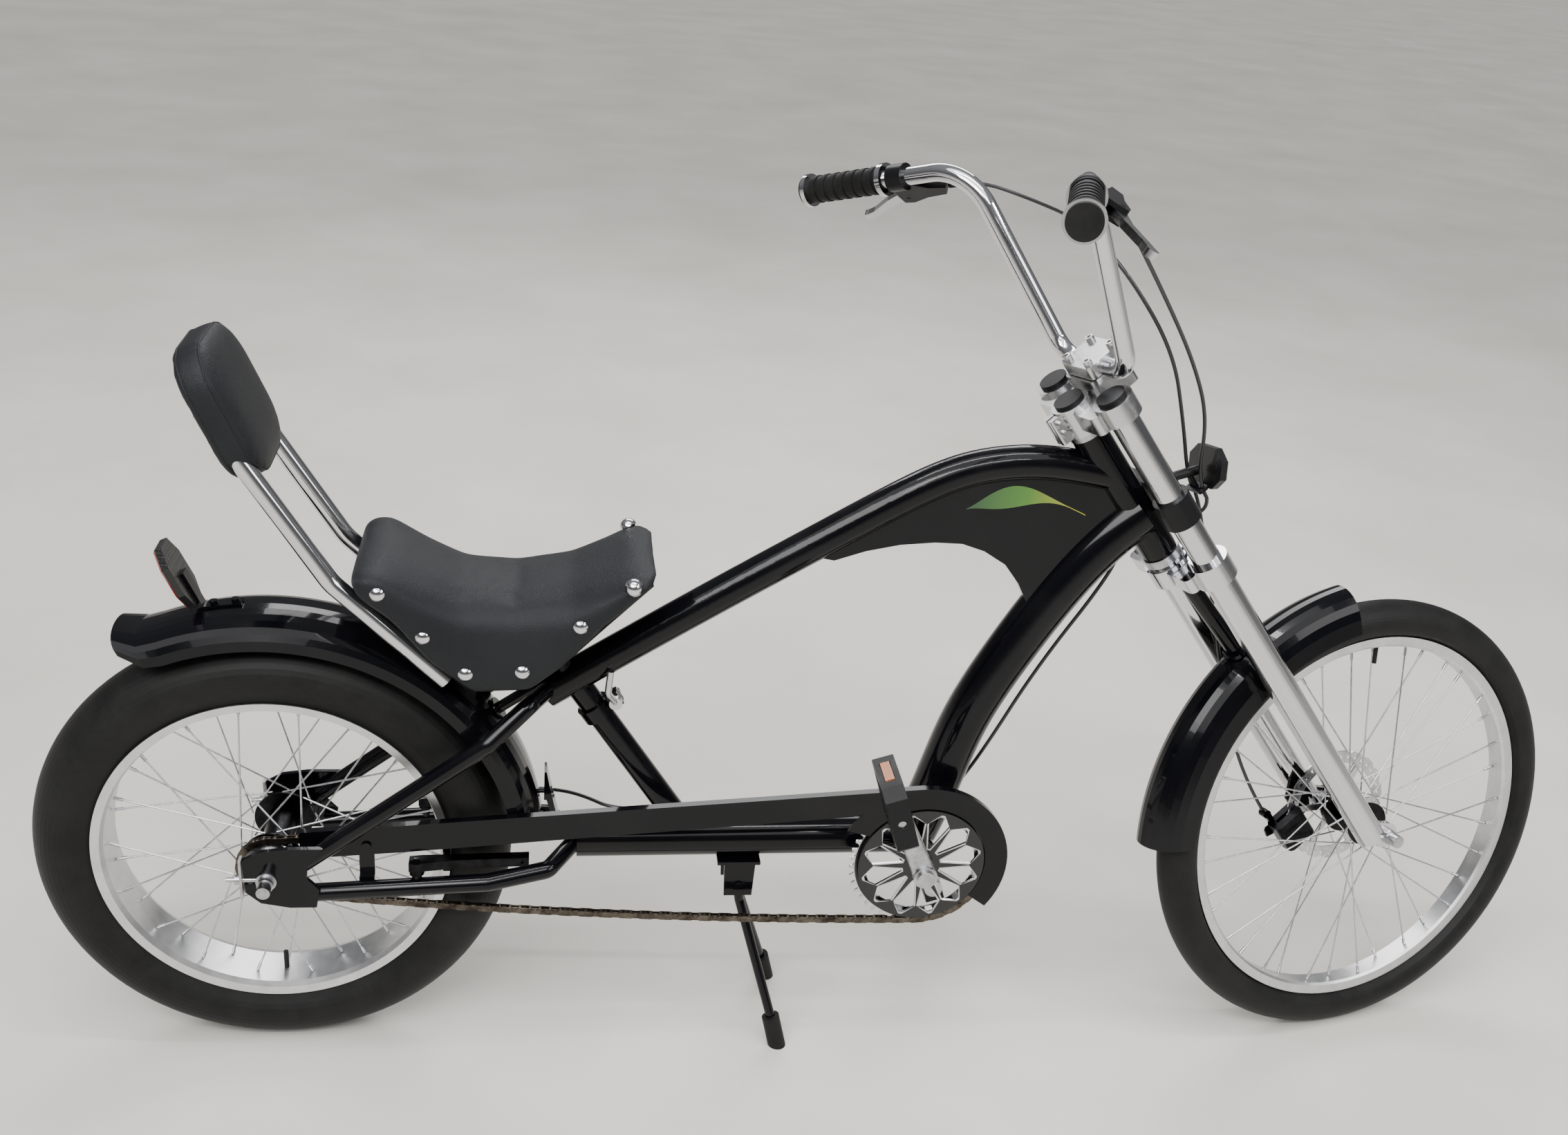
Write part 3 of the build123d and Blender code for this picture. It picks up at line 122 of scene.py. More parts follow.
class Finish:
    """A material: one Principled shader and the nodes that vary it over the surface."""

    def __init__(self, name, colour, roughness, metallic=0.0, coat=0.0, coat_roughness=0.03):
        self.material = bpy.data.materials.new(name)
        self.material.use_nodes = True
        self.material.diffuse_color = (*colour, 1)
        self.tree = self.material.node_tree
        self.shader = self.tree.nodes["Principled BSDF"]
        self.set("Base Color", (*colour, 1))
        self.set("Roughness", roughness)
        self.set("Metallic", metallic)
        self.set("Coat Weight", coat)
        self.set("Coat Roughness", coat_roughness)
        self.place = self.node("TexCoord", output="Object")

    def node(self, kind, settings=None, inputs=None, output=0):
        """Adds a node: its settings first, then the values or links of its sockets."""
        made = self.tree.nodes.new("ShaderNode" + kind)
        for key, setting in (settings or {}).items():
            if key == "stops":
                set_stops(made.color_ramp, setting)
            else:
                setattr(made, key, setting)
        for key, given in (inputs or {}).items():
            if isinstance(given, Value):
                self.tree.links.new(given.socket, made.inputs[key])
            else:
                made.inputs[key].default_value = given
        return Value(self, made.outputs[output])

    def maths(self, operation, *values):
        return self.node("Math", {"operation": operation}, dict(enumerate(values)))

    def set(self, name, given):
        if isinstance(given, Value):
            self.tree.links.new(given.socket, self.shader.inputs[name])
        else:
            self.shader.inputs[name].default_value = given

    def noise(self, scale, detail=3.0, roughness=0.5):
        return self.node("TexNoise", None, {"Vector": self.place, "Scale": scale, "Detail": detail,
                                            "Roughness": roughness})

    def ramp(self, factor, stops):
        return self.node("ValToRGB", {"stops": stops}, {"Fac": factor})

    def between(self, factor, low, high):
        """A number that runs from low to high as factor runs from 0 to 1."""
        return factor * (high - low) + low

    def blend(self, factor, low, high):
        """A colour that is low where factor is 0 and high where it is 1."""
        sides = [side if isinstance(side, Value) else (*side, 1) for side in (low, high)]
        return self.node("Mix", {"data_type": "RGBA"}, {0: factor, 6: sides[0], 7: sides[1]}, output=2)

    def along(self, origin, direction):
        """How far a surface point lies along a direction from an origin, in metres."""
        offset = self.node("VectorMath", {"operation": "SUBTRACT"}, {0: self.place, 1: tuple(origin)})
        return self.node("VectorMath", {"operation": "DOT_PRODUCT"}, {0: offset, 1: tuple(direction)},
                         output="Value")

    def bump(self, height, distance, strength=1.0):
        """Raises the surface by the height, which runs from 0 to 1, times the distance."""
        self.set("Normal", self.node("Bump", None, {"Height": height, "Distance": distance,
                                                    "Strength": strength}))


def set_stops(color_ramp, stops):
    while len(color_ramp.elements) < len(stops):
        color_ramp.elements.new(0.5)
    for element, (position, colour) in zip(color_ramp.elements, stops):
        element.position = position
        element.color = (*colour, 1)


# ---- Finishes ----------------------------------------------------------------------------

def gloss_paint():
    """Deep black paint under clear coat, with a little orange peel and settled dust."""
    paint = Finish("gloss_black_paint", (0.002, 0.002, 0.003), 0.1, coat=0.25, coat_roughness=0.02)
    paint.set("Specular IOR Level", 0.12)
    dust = paint.noise(9.0, 5.0, 0.6)
    paint.set("Roughness", paint.between(dust, 0.07, 0.2))
    paint.set("Base Color", paint.ramp(dust, [(0.5, (0.002, 0.002, 0.003)), (0.9, (0.007, 0.007, 0.008))]))
    paint.bump(paint.noise(260.0, 2.0), 0.00004)
    return paint.material


def bright_chrome():
    chrome = Finish("bright_chrome", (0.64, 0.64, 0.66), 0.06, metallic=1.0)
    haze = chrome.noise(14.0, 4.0, 0.6)
    chrome.set("Roughness", chrome.between(haze, 0.02, 0.13))
    chrome.bump(chrome.noise(60.0, 2.0), 0.00004)
    return chrome.material


def polished_alloy():
    alloy = Finish("polished_alloy", (0.56, 0.56, 0.57), 0.22, metallic=1.0)
    marks = alloy.noise(120.0, 5.0, 0.65)
    alloy.set("Roughness", alloy.between(marks, 0.12, 0.36))
    alloy.bump(marks, 0.00005)
    return alloy.material


def satin_rim():
    """Silver anodised rim with a faint haze."""
    rim = Finish("satin_rim", (0.66, 0.66, 0.67), 0.34, metallic=1.0)
    haze = rim.noise(40.0, 5.0, 0.6)
    rim.set("Roughness", rim.between(haze, 0.26, 0.46))
    rim.set("Base Color", rim.ramp(haze, [(0.3, (0.58, 0.58, 0.59)), (0.7, (0.72, 0.72, 0.73))]))
    return rim.material


def plain_steel(name, dark, light, low, high):
    """Bare or plated steel whose colour and gloss wander a little."""
    steel = Finish(name, light, low, metallic=1.0)
    wear = steel.noise(70.0, 5.0, 0.65)
    steel.set("Base Color", steel.ramp(wear, [(0.35, dark), (0.65, light)]))
    steel.set("Roughness", steel.between(wear, low, high))
    steel.bump(steel.noise(420.0, 3.0), 0.00005)
    return steel.material


def moulded_plastic():
    plastic = Finish("moulded_black_plastic", (0.005, 0.005, 0.006), 0.4)
    plastic.set("Specular IOR Level", 0.2)
    grain = plastic.noise(900.0, 3.0)
    plastic.set("Roughness", plastic.between(plastic.noise(30.0), 0.28, 0.46))
    plastic.bump(grain, 0.00008)
    return plastic.material


def grip_rubber():
    rubber = Finish("grip_rubber", (0.006, 0.006, 0.006), 0.6)
    rubber.set("Specular IOR Level", 0.2)
    dust = rubber.noise(24.0, 5.0, 0.7)
    rubber.set("Base Color", rubber.ramp(dust, [(0.4, (0.005, 0.005, 0.005)), (0.85, (0.014, 0.014, 0.013))]))
    rubber.set("Roughness", rubber.between(dust, 0.45, 0.75))
    rubber.bump(rubber.noise(500.0), 0.0001)
    return rubber.material


def coated_vinyl():
    """Charcoal seat vinyl: fine leather grain, soft broad gloss."""
    vinyl = Finish("seat_vinyl", (0.010, 0.011, 0.013), 0.5)
    vinyl.set("Specular IOR Level", 0.2)
    cells = vinyl.node("TexVoronoi", {"feature": "DISTANCE_TO_EDGE"}, {"Vector": vinyl.place, "Scale": 520.0})
    pebbles = vinyl.node("MapRange", None, {"Value": cells, "From Max": 0.35}, output="Result")
    wear = vinyl.noise(7.0, 4.0, 0.6)
    vinyl.set("Base Color", vinyl.ramp(wear, [(0.3, (0.007, 0.008, 0.010)), (0.7, (0.012, 0.013, 0.015))]))
    vinyl.set("Roughness", vinyl.between(wear, 0.42, 0.60))
    vinyl.bump(pebbles * 0.8 + vinyl.noise(1400.0, 2.0) * 0.2, 0.00022)
    return vinyl.material


def moulded_lens(name, colour, painted_glow, face=None):
    """Prismatic reflector: small cells behind a glossy face, in a black shell if face says where, with a
    faint emission that paints a glow on the lens.
    """
    lens = Finish(name, colour, 0.28, coat=0.25)
    lens.set("Specular IOR Level", 0.3)
    cells = lens.node("TexVoronoi", {"feature": "F1", "distance": "CHEBYCHEV"},
                      {"Vector": lens.place, "Scale": 260.0, "Randomness": 0.0}, output="Distance")
    dark = tuple(0.4 * part for part in colour)
    tint = lens.ramp(cells, [(0.1, colour), (0.55, dark)])
    if face:
        point, outward, depth = face
        front = lens.along(point, outward) > depth
        tint = lens.blend(front, (0.006, 0.006, 0.007), tint)
        # Painted glow: only the lens face emits its colour, the shell emits nothing.
        lens.set("Emission Color", lens.blend(front, (0, 0, 0), colour))
    else:
        # Painted glow: the whole lens emits its colour.
        lens.set("Emission Color", (*colour, 1))
    lens.set("Base Color", tint)
    # Strength of the painted glow that stands in for light the reflector sends back.
    lens.set("Emission Strength", painted_glow)
    lens.bump(cells, 0.0003)
    return lens.material


def tyre_rubber(name, centre, axle, radius, half_width, blocks):
    """Black tyre: slanted grooves on each shoulder, two round the crown, fine rings on the wall."""
    rubber = Finish(name, (0.006, 0.006, 0.006), 0.6)
    rubber.set("Specular IOR Level", 0.2)
    first = Vector((axle.z, 0, -axle.x)).normalized()
    second = axle.cross(first).normalized()
    across = rubber.along(centre, axle)
    u = rubber.along(centre, first)
    w = rubber.along(centre, second)
    reach = rubber.maths("SQRT", u * u + w * w)
    turn = rubber.maths("ARCTAN2", w, u) / tau
    side = abs(across) / half_width
    step = rubber.maths("FRACT", turn * blocks + side * 0.55)
    cut = step < 0.075
    shoulder = (side > 0.30) * (side < 0.96) * (reach > radius * 0.86)
    half_step = rubber.maths("FRACT", turn * blocks + 0.5 - side * 0.5)
    short_cut = (half_step < 0.06) * (side > 0.12) * (side < 0.5)
    ring = (abs(side - 0.22) < 0.035) * (reach > radius * 0.9)
    wall_ring = abs(rubber.maths("SINE", reach * 900.0)) * (reach < radius * 0.84) * 0.12
    groove = rubber.maths("MAXIMUM", cut * shoulder, rubber.maths("MAXIMUM", ring, short_cut))
    dust = rubber.noise(18.0, 6.0, 0.7)
    rubber.set("Base Color", rubber.ramp(dust, [(0.4, (0.005, 0.005, 0.005)), (0.85, (0.013, 0.013, 0.012))]))
    rubber.set("Roughness", rubber.between(dust, 0.4, 0.7))
    rubber.bump(1 - groove + wall_ring + rubber.noise(600.0) * 0.03, 0.0035)
    return rubber.material


def windowed_chainring():
    """A black face plate with twelve bright-edged windows, over the bright toothed ring."""
    ring = Finish("windowed_chainring", (0.5, 0.5, 0.51), 0.2, metallic=1.0)
    u = ring.along(crank_axle, Vector((1, 0, 0)))
    w = ring.along(crank_axle, Vector((0, 0, 1)))
    reach = ring.maths("SQRT", u * u + w * w) * 1000
    turn = ring.maths("ARCTAN2", w, u) + radians(15)
    offset = abs(ring.maths("PINGPONG", turn + tau, pi / 12)) * reach
    widen = (reach - 26) * (12.4 / 36) + 1.6
    close = (74 - reach) * (10.8 / 12) + 3.2
    half = ring.maths("MINIMUM", widen, close)
    trim = (offset < half + 1.6) * (reach > 24) * (reach < 77)
    face = (reach < 84.5) * (ring.along(crank_axle, Vector((0, -1, 0))) > 0.0405)
    black = face * (1 - trim)
    wear = ring.noise(80.0, 5.0, 0.65)
    bright = ring.ramp(wear, [(0.35, (0.46, 0.46, 0.47)), (0.65, (0.66, 0.66, 0.67))])
    ring.set("Base Color", ring.blend(black, bright, (0.004, 0.004, 0.005)))
    ring.set("Metallic", 1 - black)
    ring.set("Roughness", ring.between(wear, 0.14, 0.34))
    return ring.material


def swoosh_foil(start, end):
    """Printed foil that runs from green to yellow along the tube."""
    foil = Finish("green_yellow_foil", (0.3, 0.6, 0.05), 0.35, coat=0.6)
    run = foil.along(start, Vector((1, 0, 0))) / (end.x - start.x)
    foil.set("Base Color", foil.ramp(run, [(0.0, (0.006, 0.045, 0.015)), (0.5, (0.05, 0.17, 0.01)),
                                           (1.0, (0.36, 0.34, 0.01))]))
    foil.set("Roughness", foil.between(foil.noise(60.0), 0.28, 0.42))
    return foil.material


def swept_concrete():
    """The studio floor: pale, nearly plain."""
    floor = Finish("pale_floor", (0.60, 0.58, 0.53), 0.6)
    clouds = floor.noise(1.6, 6.0, 0.6)
    floor.set("Base Color", floor.ramp(clouds, [(0.3, (0.55, 0.53, 0.48)), (0.7, (0.64, 0.62, 0.57))]))
    floor.set("Roughness", floor.between(clouds, 0.5, 0.7))
    return floor.material


black_paint = gloss_paint()
chrome = bright_chrome()
alloy = polished_alloy()
rim_silver = satin_rim()
black_plastic = moulded_plastic()
black_rubber = grip_rubber()
seat_vinyl = coated_vinyl()
plated_steel = plain_steel("plated_steel", (0.34, 0.34, 0.35), (0.52, 0.52, 0.54), 0.2, 0.4)
spoke_steel = plain_steel("spoke_steel", (0.50, 0.50, 0.51), (0.66, 0.66, 0.68), 0.18, 0.34)
chain_steel = plain_steel("oiled_chain", (0.035, 0.028, 0.022), (0.13, 0.11, 0.09), 0.28, 0.48)
ring_steel = plain_steel("ring_steel", (0.36, 0.36, 0.37), (0.60, 0.60, 0.61), 0.18, 0.38)
black_alloy = plain_steel("black_alloy", (0.008, 0.008, 0.009), (0.02, 0.02, 0.022), 0.22, 0.42)
# The third number of each lens is the strength of its painted glow, an emission that makes it shine.
amber_lens = moulded_lens("amber_lens", (0.50, 0.12, 0.01), 0.05)
# Each reflector's shell: a point on its back, the way it faces, and how far forward its lens starts.
rear_shell = (Vector((-0.086, 0, 0.641)), Vector((-0.91, 0, -0.42)).normalized(), 0.0085)
front_shell = (in_fork(104, 0, -82), (fork_ahead * 0.791 - fork_up * 0.612).normalized(), 0.0095)
red_lens = moulded_lens("red_lens", (0.42, 0.010, 0.010), 0.06, rear_shell)
clear_lens = moulded_lens("clear_lens", (0.62, 0.63, 0.64), 0.03, front_shell)
window_plate = windowed_chainring()

finishes = {
    black_paint: ["head_tube", "top_tube", "gusset", "down_tube", "bottom_tube", "seat_tube",
                  "right_stays", "left_stays", "stand_hanger", "chain_guard", "rear_fender",
                  "front_fender", "seat_collar", "stand_legs", "fender_brackets"],
    chrome: ["handlebar", "fork_legs", "lower_crown", "sissy_bar", "saddle_rivets", "grip_rings"],
    alloy: ["upper_clamp", "right_brake_lever", "left_brake_lever", "collar_lever"],
    rim_silver: ["rear_rim", "front_rim"],
    plated_steel: ["bearing_cups", "rear_axle", "front_axle", "cranks"],
    spoke_steel: ["rear_spokes", "front_spokes", "front_rotor"],
    chain_steel: ["chain"],
    ring_steel: ["rear_sprocket"],
    window_plate: ["chainring"],
    black_alloy: ["rear_hub", "front_hub", "front_caliper", "caliper_arm", "right_brake_arm",
                  "left_brake_arm", "seat_post"],
    black_plastic: ["right_pedal", "left_pedal", "fork_trim", "lever_brackets"],
    black_rubber: ["grips", "stand_feet"],
    amber_lens: ["right_pedal_reflectors", "left_pedal_reflectors"],
    red_lens: ["rear_reflector"],
    clear_lens: ["front_reflector"],
}


def wear(piece, material):
    piece.data.materials.clear()
    piece.data.materials.append(material)


for finish, names in finishes.items():
    for name in names:
        wear(frame["nodes"][name], finish)

rear_tread = tyre_rubber("rear_tyre_rubber", rear_axle, Vector((0, 1, 0)),
                         radius=0.282, half_width=0.047, blocks=30)
front_tread = tyre_rubber("front_tyre_rubber", front_axle, fork_left,
                          radius=0.3048, half_width=0.027, blocks=44)
wear(frame["nodes"]["rear_tyre"], rear_tread)
wear(frame["nodes"]["front_tyre"], front_tread)


# ---- Mesh helpers ------------------------------------------------------------------------

def mesh_piece(name, points, faces, material, body):
    """A smooth-shaded piece in the row frame that rides on a body."""
    mesh = bpy.data.meshes.new(name)
    mesh.from_pydata([tuple(point) for point in points], [], faces)
    made = bmesh.new()
    made.from_mesh(mesh)
    bmesh.ops.recalc_face_normals(made, faces=made.faces)
    made.to_mesh(mesh)
    made.free()
    mesh.polygons.foreach_set("use_smooth", [True] * len(mesh.polygons))
    piece = bpy.data.objects.new(name, mesh)
    bpy.context.scene.collection.objects.link(piece)
    wear(piece, material)
    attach(piece, body)
    return piece


def evaluated_mesh(piece):
    """The piece's mesh with its modifiers applied."""
    graph = bpy.context.evaluated_depsgraph_get()
    return bpy.data.meshes.new_from_object(piece.evaluated_get(graph), depsgraph=graph)


def settle(piece):
    """Applies every modifier of a piece to its mesh."""
    applied = evaluated_mesh(piece)
    piece.modifiers.clear()
    piece.data = applied


# ---- Saddle and backrest -----------------------------------------------------------------

skin_step = 0.0045
blow_up_frames = 14


def upholstered(name, node, mesh, inset, swell, rounds):
    """Foam under vinyl: a closed form, drawn in by inset, blown up by at most swell, and smoothed."""
    made = bmesh.new()
    made.from_mesh(mesh)
    bmesh.ops.remove_doubles(made, verts=made.verts, dist=0.00001)
    made.to_mesh(mesh)
    made.free()
    piece = bpy.data.objects.new(name, mesh)
    bpy.context.scene.collection.objects.link(piece)
    remesh = piece.modifiers.new("Even skin", "REMESH")
    remesh.mode = "VOXEL"
    remesh.voxel_size = skin_step
    soften(piece, rounds)
    settle(piece)
    for vertex in piece.data.vertices:
        vertex.co = vertex.co - vertex.normal * inset
    start = [vertex.co.copy() for vertex in piece.data.vertices]
    blow_up(piece)
    for vertex, before in zip(piece.data.vertices, start):
        moved = vertex.co - before
        if moved.length > swell:
            vertex.co = before + moved.normalized() * swell
    soften(piece, rounds)
    finer = piece.modifiers.new("Finer", "SUBSURF")
    finer.levels = 1
    finer.render_levels = 1
    settle(piece)
    piece.data.polygons.foreach_set("use_smooth", [True] * len(piece.data.polygons))
    wear(piece, seat_vinyl)
    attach(piece, "seat_unit")
    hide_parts(node)
    return piece


def soften(piece, rounds):
    smooth = piece.modifiers.new("Soften", "SMOOTH")
    smooth.factor = 0.5
    smooth.iterations = rounds


def blow_up(piece):
    """Fills the skin with air under cloth simulation and keeps the result."""
    cloth = piece.modifiers.new("Cloth", "CLOTH")
    cloth.settings.quality = 5
    cloth.settings.mass = 0.3
    cloth.settings.tension_stiffness = 40
    cloth.settings.compression_stiffness = 40
    cloth.settings.bending_stiffness = 12
    cloth.settings.use_pressure = True
    cloth.settings.uniform_pressure_force = 4
    cloth.settings.effector_weights.gravity = 0
    cloth.point_cache.frame_start = 1
    cloth.point_cache.frame_end = blow_up_frames
    for number in range(1, blow_up_frames + 1):
        bpy.context.scene.frame_set(number)
    settle(piece)


pad_low, pad_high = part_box("backrest_pad")
pad_middle = (Vector(pad_low) + Vector(pad_high)) / 2
pad_lean = radians(24)
pad_out = Vector((cos(pad_lean), 0, sin(pad_lean)))
pad_up = Vector((-sin(pad_lean), 0, cos(pad_lean)))
pad_side = Vector((0, 1, 0))
pad_half_width, pad_half_height, pad_corner = 0.0800, 0.0790, 0.050
# How far each ring of the pad reaches, as a share of its outline, and how far forward it lies.
pad_profile = [(0.30, 0.0225), (0.60, 0.0220), (0.80, 0.0200), (0.92, 0.0170), (0.98, 0.0130), (1.0, 0.0080),
               (1.0, 0.0), (1.0, -0.0100), (0.99, -0.0160), (0.97, -0.0200), (0.93, -0.0225), (0.60, -0.0235),
               (0.30, -0.0235)]


def pad_outline(half_width, half_height, corner, steps=10):
    """A rounded rectangle in the pad's own plane: each point with the direction that it faces."""
    quarters = [(half_width - corner, half_height - corner), (corner - half_width, half_height - corner),
                (corner - half_width, corner - half_height), (half_width - corner, corner - half_height)]
    line = []
    for quarter, (across, above) in enumerate(quarters):
        for i in range(steps + 1):
            angle = (quarter + i / steps) * pi / 2
            outward = pad_side * cos(angle) + pad_up * sin(angle)
            line.append((pad_side * across + pad_up * above + outward * corner, outward))
    return line


def crowned_pad():
    """The backrest's closed form: a rounded band between two crowned faces."""
    line = pad_outline(pad_half_width, pad_half_height, pad_corner)
    count = len(line)
    points = [pad_middle + point * reach + pad_out * ahead
              for reach, ahead in pad_profile for point, _ in line]
    faces = [(ring * count + i, ring * count + (i + 1) % count, (ring + 1) * count + (i + 1) % count,
              (ring + 1) * count + i) for ring in range(len(pad_profile) - 1) for i in range(count)]
    faces.append(tuple(range(count))[::-1])
    faces.append(tuple(range((len(pad_profile) - 1) * count, len(pad_profile) * count)))
    mesh = bpy.data.meshes.new("crowned_pad")
    mesh.from_pydata([tuple(point) for point in points], [], faces)
    made = bmesh.new()
    made.from_mesh(mesh)
    bmesh.ops.recalc_face_normals(made, faces=made.faces)
    made.to_mesh(mesh)
    made.free()
    return mesh


saddle_form = frame["nodes"]["saddle"].data.copy()
upholstered("saddle_cover", "saddle", saddle_form, inset=0.0005, swell=0.003, rounds=13)
backrest = upholstered("backrest_cover", "backrest_pad", crowned_pad(), inset=0.001, swell=0.005, rounds=4)


def welt(name, cover, ahead, thickness):
    """A round sewn edge laid on the cover, where the band meets one of its faces."""
    line = [cover.closest_point_on_mesh(pad_middle + point * 1.02 + pad_out * ahead)[1]
            for point, _ in pad_outline(pad_half_width, pad_half_height, pad_corner)]
    round_steps = 8
    points = []
    for i, middle in enumerate(line):
        forward = (line[(i + 1) % len(line)] - line[i - 1]).normalized()
        out = forward.cross(pad_out).normalized()
        across = out.cross(forward)
        for j in range(round_steps):
            turn = tau * j / round_steps
            points.append(middle + (out * cos(turn) + across * sin(turn)) * thickness)
    faces = []
    for i in range(len(line)):
        after = (i + 1) % len(line)
        for j in range(round_steps):
            k = (j + 1) % round_steps
            faces.append((i * round_steps + j, i * round_steps + k,
                          after * round_steps + k, after * round_steps + j))
    piece = mesh_piece(name, points, faces, seat_vinyl, "seat_unit")


welt("backrest_seam_0", backrest, ahead=-0.0150, thickness=0.0013)
welt("backrest_seam_1", backrest, ahead=0.0140, thickness=0.0013)


# ---- Cables ------------------------------------------------------------------------------

grip_end = Vector((-26, -335, 400))
grip_dir = (Vector((92, -136, 356)) - grip_end).normalized()
lever_droop = radians(62)
flat_dir = grip_dir.cross(Vector((0, 0, 1))).normalized()
down_dir = grip_dir.cross(flat_dir).normalized()
reach_dir = flat_dir * cos(lever_droop) + down_dir * sin(lever_droop)
lever_origin = grip_end + grip_dir * 138


def barrel_points(side):
    """Where a cable leaves its lever, and the point it runs straight to, in the fork's axes."""
    ends = [lever_origin + grip_dir * inward + reach_dir * 28.5 for inward in (60, 96)]
    return [in_fork(end.x, side * end.y, end.z) for end in ends]


def housing_curve(name, points):
    """A black housing along a smooth line through the air between its two ends."""
    curve = bpy.data.curves.new(name, "CURVE")
    curve.dimensions = "3D"
    curve.bevel_resolution = 4
    curve.resolution_u = 16
    curve.use_fill_caps = True
    line = curve.splines.new("NURBS")
    line.points.add(len(points) - 1)
    for spot, point in zip(line.points, points):
        spot.co = (*point, 1)
    line.order_u = 3
    line.use_endpoint_u = True
    curve.materials.append(cable_black)
    piece = bpy.data.objects.new(name, curve)
    bpy.context.scene.collection.objects.link(piece)
    return piece


def cable(name, points, body):
    """A housing whose two ends move with one body."""
    piece = housing_curve(name, points)
    piece.data.bevel_depth = housing_radius
    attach(piece, body)
    return piece


def bending_cable(name, points):
    """A housing that runs from one body to another, made as one fixed tube that is attached to neither."""
    route = housing_curve(name + "_route", points)
    path = [tuple(vertex.co) for vertex in evaluated_mesh(route).vertices]
    route.data.bevel_depth = housing_radius
    tube = evaluated_mesh(route)
    bpy.data.objects.remove(route)
    tube.polygons.foreach_set("use_smooth", [True] * len(tube.polygons))
    piece = bpy.data.objects.new(name, tube)
    bpy.context.scene.collection.objects.link(piece)
    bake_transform(piece)
    return piece


housing_radius = 0.0024
cable_finish = Finish("cable_housing", (0.010, 0.010, 0.011), 0.35, coat=0.3)
cable_finish.set("Roughness", cable_finish.between(cable_finish.noise(80.0), 0.28, 0.5))
cable_black = cable_finish.material

front_points = barrel_points(-1) + [
    in_fork(124, 96, 290), in_fork(134, 28, 256), in_fork(128, -26, 190), in_fork(128, -28, 80),
    in_fork(112, 8, -20), in_fork(82, 10, -84), in_fork(82, 10, -112), in_fork(64, 22, -180),
    in_fork(32, 36, -280), in_fork(-8, 50, -400), in_fork(-44, 55, -520), in_fork(-46, 55, -596)]
upper_points = barrel_points(1) + [
    in_fork(122, -92, 180), in_fork(136, -44, 60), in_fork(126, -24, -20), in_fork(82, -10, -84),
    in_fork(82, -10, -110)]
rear_points = [
    in_fork(82, -10, -111.1), in_fork(76, -8, -130), in_row(34, 35, -124), in_row(-4, 39, -120),
    in_row(-34, 36, -118), Vector((1.004, 0.012, 0.652)), Vector((0.927, 0, 0.531)),
    Vector((0.872, 0, 0.404)), Vector((0.846, 0.024, 0.330)), Vector((0.800, 0.050, 0.304)),
    Vector((0.700, 0.031, 0.300)), Vector((0.420, 0.031, 0.296)), Vector((0.366, 0.074, 0.298)),
    Vector((0.322, 0.094, 0.293)), Vector((0.297, 0.094, 0.292)), Vector((0.297, 0.066, 0.292))]
front_cable = cable("front_brake_housing", front_points, "steering")
upper_cable = cable("rear_brake_upper_housing", upper_points, "steering")
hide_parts("lever_cables")
rear_cable = bending_cable("rear_brake_housing", rear_points)
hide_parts("rear_brake_cable")


# ---- Decal -------------------------------------------------------------------------------

gusset_half_thickness = 0.01115


def swoosh(side):
    """A plain curved flash on the side of the head gusset."""
    steps = 28
    start = Vector((0.806, 0, 0.762))
    end = Vector((0.952, 0, 0.752))
    face = side * gusset_half_thickness
    points = []
    for i in range(steps + 1):
        t = i / steps
        x = start.x + (end.x - start.x) * t
        middle = 0.746 + 0.020 * sin(pi * t) - 0.004 * t
        half = 0.0005 + 0.0150 * sin(pi * min(1.0, t * 1.15) ** 0.8) ** 2 * (1 - 0.3 * t)
        points.append((x, face, middle - half))
        points.append((x, face, middle + half))
    faces = [(2 * i, 2 * i + 1, 2 * i + 3, 2 * i + 2) for i in range(steps)]
    if side < 0:
        faces = [face_points[::-1] for face_points in faces]
    mesh = bpy.data.meshes.new("swoosh")
    mesh.from_pydata(points, [], faces)
    piece = bpy.data.objects.new("right_decal" if side < 0 else "left_decal", mesh)
    bpy.context.scene.collection.objects.link(piece)
    wear(piece, swoosh_foil(start, end))
    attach(piece, "frame")


swoosh(-1)
swoosh(1)


# ---- Studio ------------------------------------------------------------------------------

def floor():
    mesh = bpy.data.meshes.new("floor")
    mesh.from_pydata([(-45, -12, 0), (45, -12, 0), (45, 70, 0), (-45, 70, 0)], [], [(0, 1, 2, 3)])
    piece = bpy.data.objects.new("floor", mesh)
    bpy.context.scene.collection.objects.link(piece)
    wear(piece, swept_concrete())


def softbox(name, place, target, size, power):
    light = bpy.data.lights.new(name, "AREA")
    light.shape = "RECTANGLE"
    light.size, light.size_y = size
    light.energy = power
    lamp = bpy.data.objects.new(name, light)
    aim = (target - place).to_track_quat("-Z", "Y")
    lamp.matrix_world = Matrix.Translation(place) @ aim.to_matrix().to_4x4()
    bpy.context.scene.collection.objects.link(lamp)


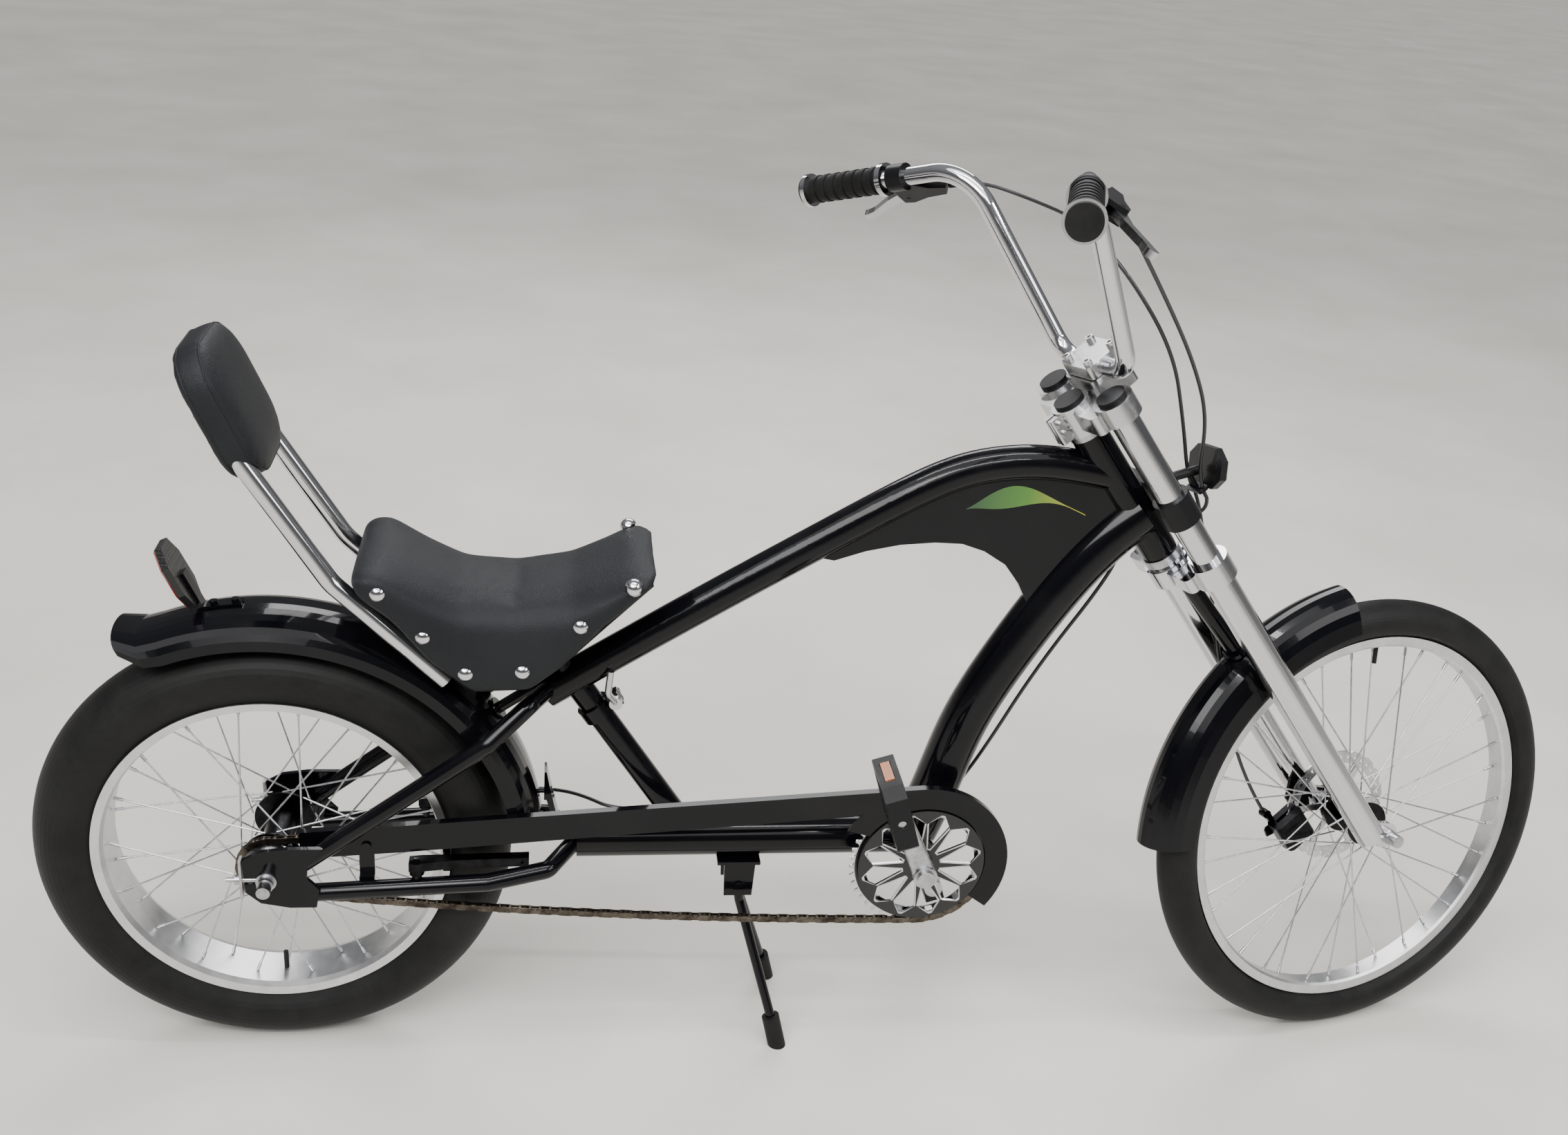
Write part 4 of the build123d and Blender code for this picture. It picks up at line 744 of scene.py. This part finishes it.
def sky():
    """A pale room with a darker band above the horizon, so that chrome has contrast."""
    world = bpy.data.worlds.new("room")
    bpy.context.scene.world = world
    world.use_nodes = True
    nodes = world.node_tree.nodes
    links = world.node_tree.links
    place = nodes.new("ShaderNodeTexCoord")
    split = nodes.new("ShaderNodeSeparateXYZ")
    ramp = nodes.new("ShaderNodeValToRGB")
    set_stops(ramp.color_ramp, [(0.0, (0.62, 0.61, 0.58)), (0.12, (0.26, 0.26, 0.26)),
                                (0.32, (0.42, 0.43, 0.45)), (1.0, (0.85, 0.86, 0.88))])
    links.new(place.outputs["Generated"], split.inputs[0])
    links.new(split.outputs["Z"], ramp.inputs["Fac"])
    links.new(ramp.outputs["Color"], nodes["Background"].inputs["Color"])
    nodes["Background"].inputs["Strength"].default_value = 0.45


def camera():
    """The viewing angle: from the right and ahead of the rear wheel, looking down."""
    yaw, pitch, roll = 0.161, 0.428, 0.086
    look = Vector((sin(yaw) * cos(pitch), cos(yaw) * cos(pitch), -sin(pitch)))
    level_right = Vector((cos(yaw), -sin(yaw), 0))
    level_up = level_right.cross(look)
    right = level_right * cos(roll) + level_up * sin(roll)
    up = level_up * cos(roll) - level_right * sin(roll)
    lens = bpy.data.cameras.new("camera")
    lens.sensor_width = 36
    lens.lens = 36.17
    lens.clip_end = 60
    piece = bpy.data.objects.new("camera", lens)
    turned = Matrix((right, up, -look)).transposed().to_4x4()
    piece.matrix_world = Matrix.Translation((0.3257, -1.6747, 1.4349)) @ turned
    bpy.context.scene.collection.objects.link(piece)
    bpy.context.scene.camera = piece


def daylight(strength):
    """Wide, even light that keeps the far floor as pale as the near floor."""
    light = bpy.data.lights.new("daylight", "SUN")
    light.energy = strength
    light.angle = radians(70)
    lamp = bpy.data.objects.new("daylight", light)
    lamp.rotation_euler = (radians(28), radians(-12), 0)
    bpy.context.scene.collection.objects.link(lamp)


middle = Vector((0.75, 0, 0.5))
floor()
daylight(2.3)
softbox("key", Vector((-1.2, -2.6, 3.4)), middle, (2.6, 1.6), 115)
softbox("fill", Vector((3.6, -2.2, 2.6)), middle, (2.0, 1.6), 50)
softbox("back", Vector((1.0, 3.0, 3.0)), middle, (3.2, 1.2), 90)
softbox("strip_over", Vector((0.7, -0.5, 3.4)), middle, (2.6, 0.10), 34)
softbox("strip_front", Vector((0.6, -2.4, 2.9)), middle, (2.2, 0.08), 30)
softbox("strip_side", Vector((2.9, -0.8, 2.8)), middle, (1.2, 0.08), 16)
sky()
camera()
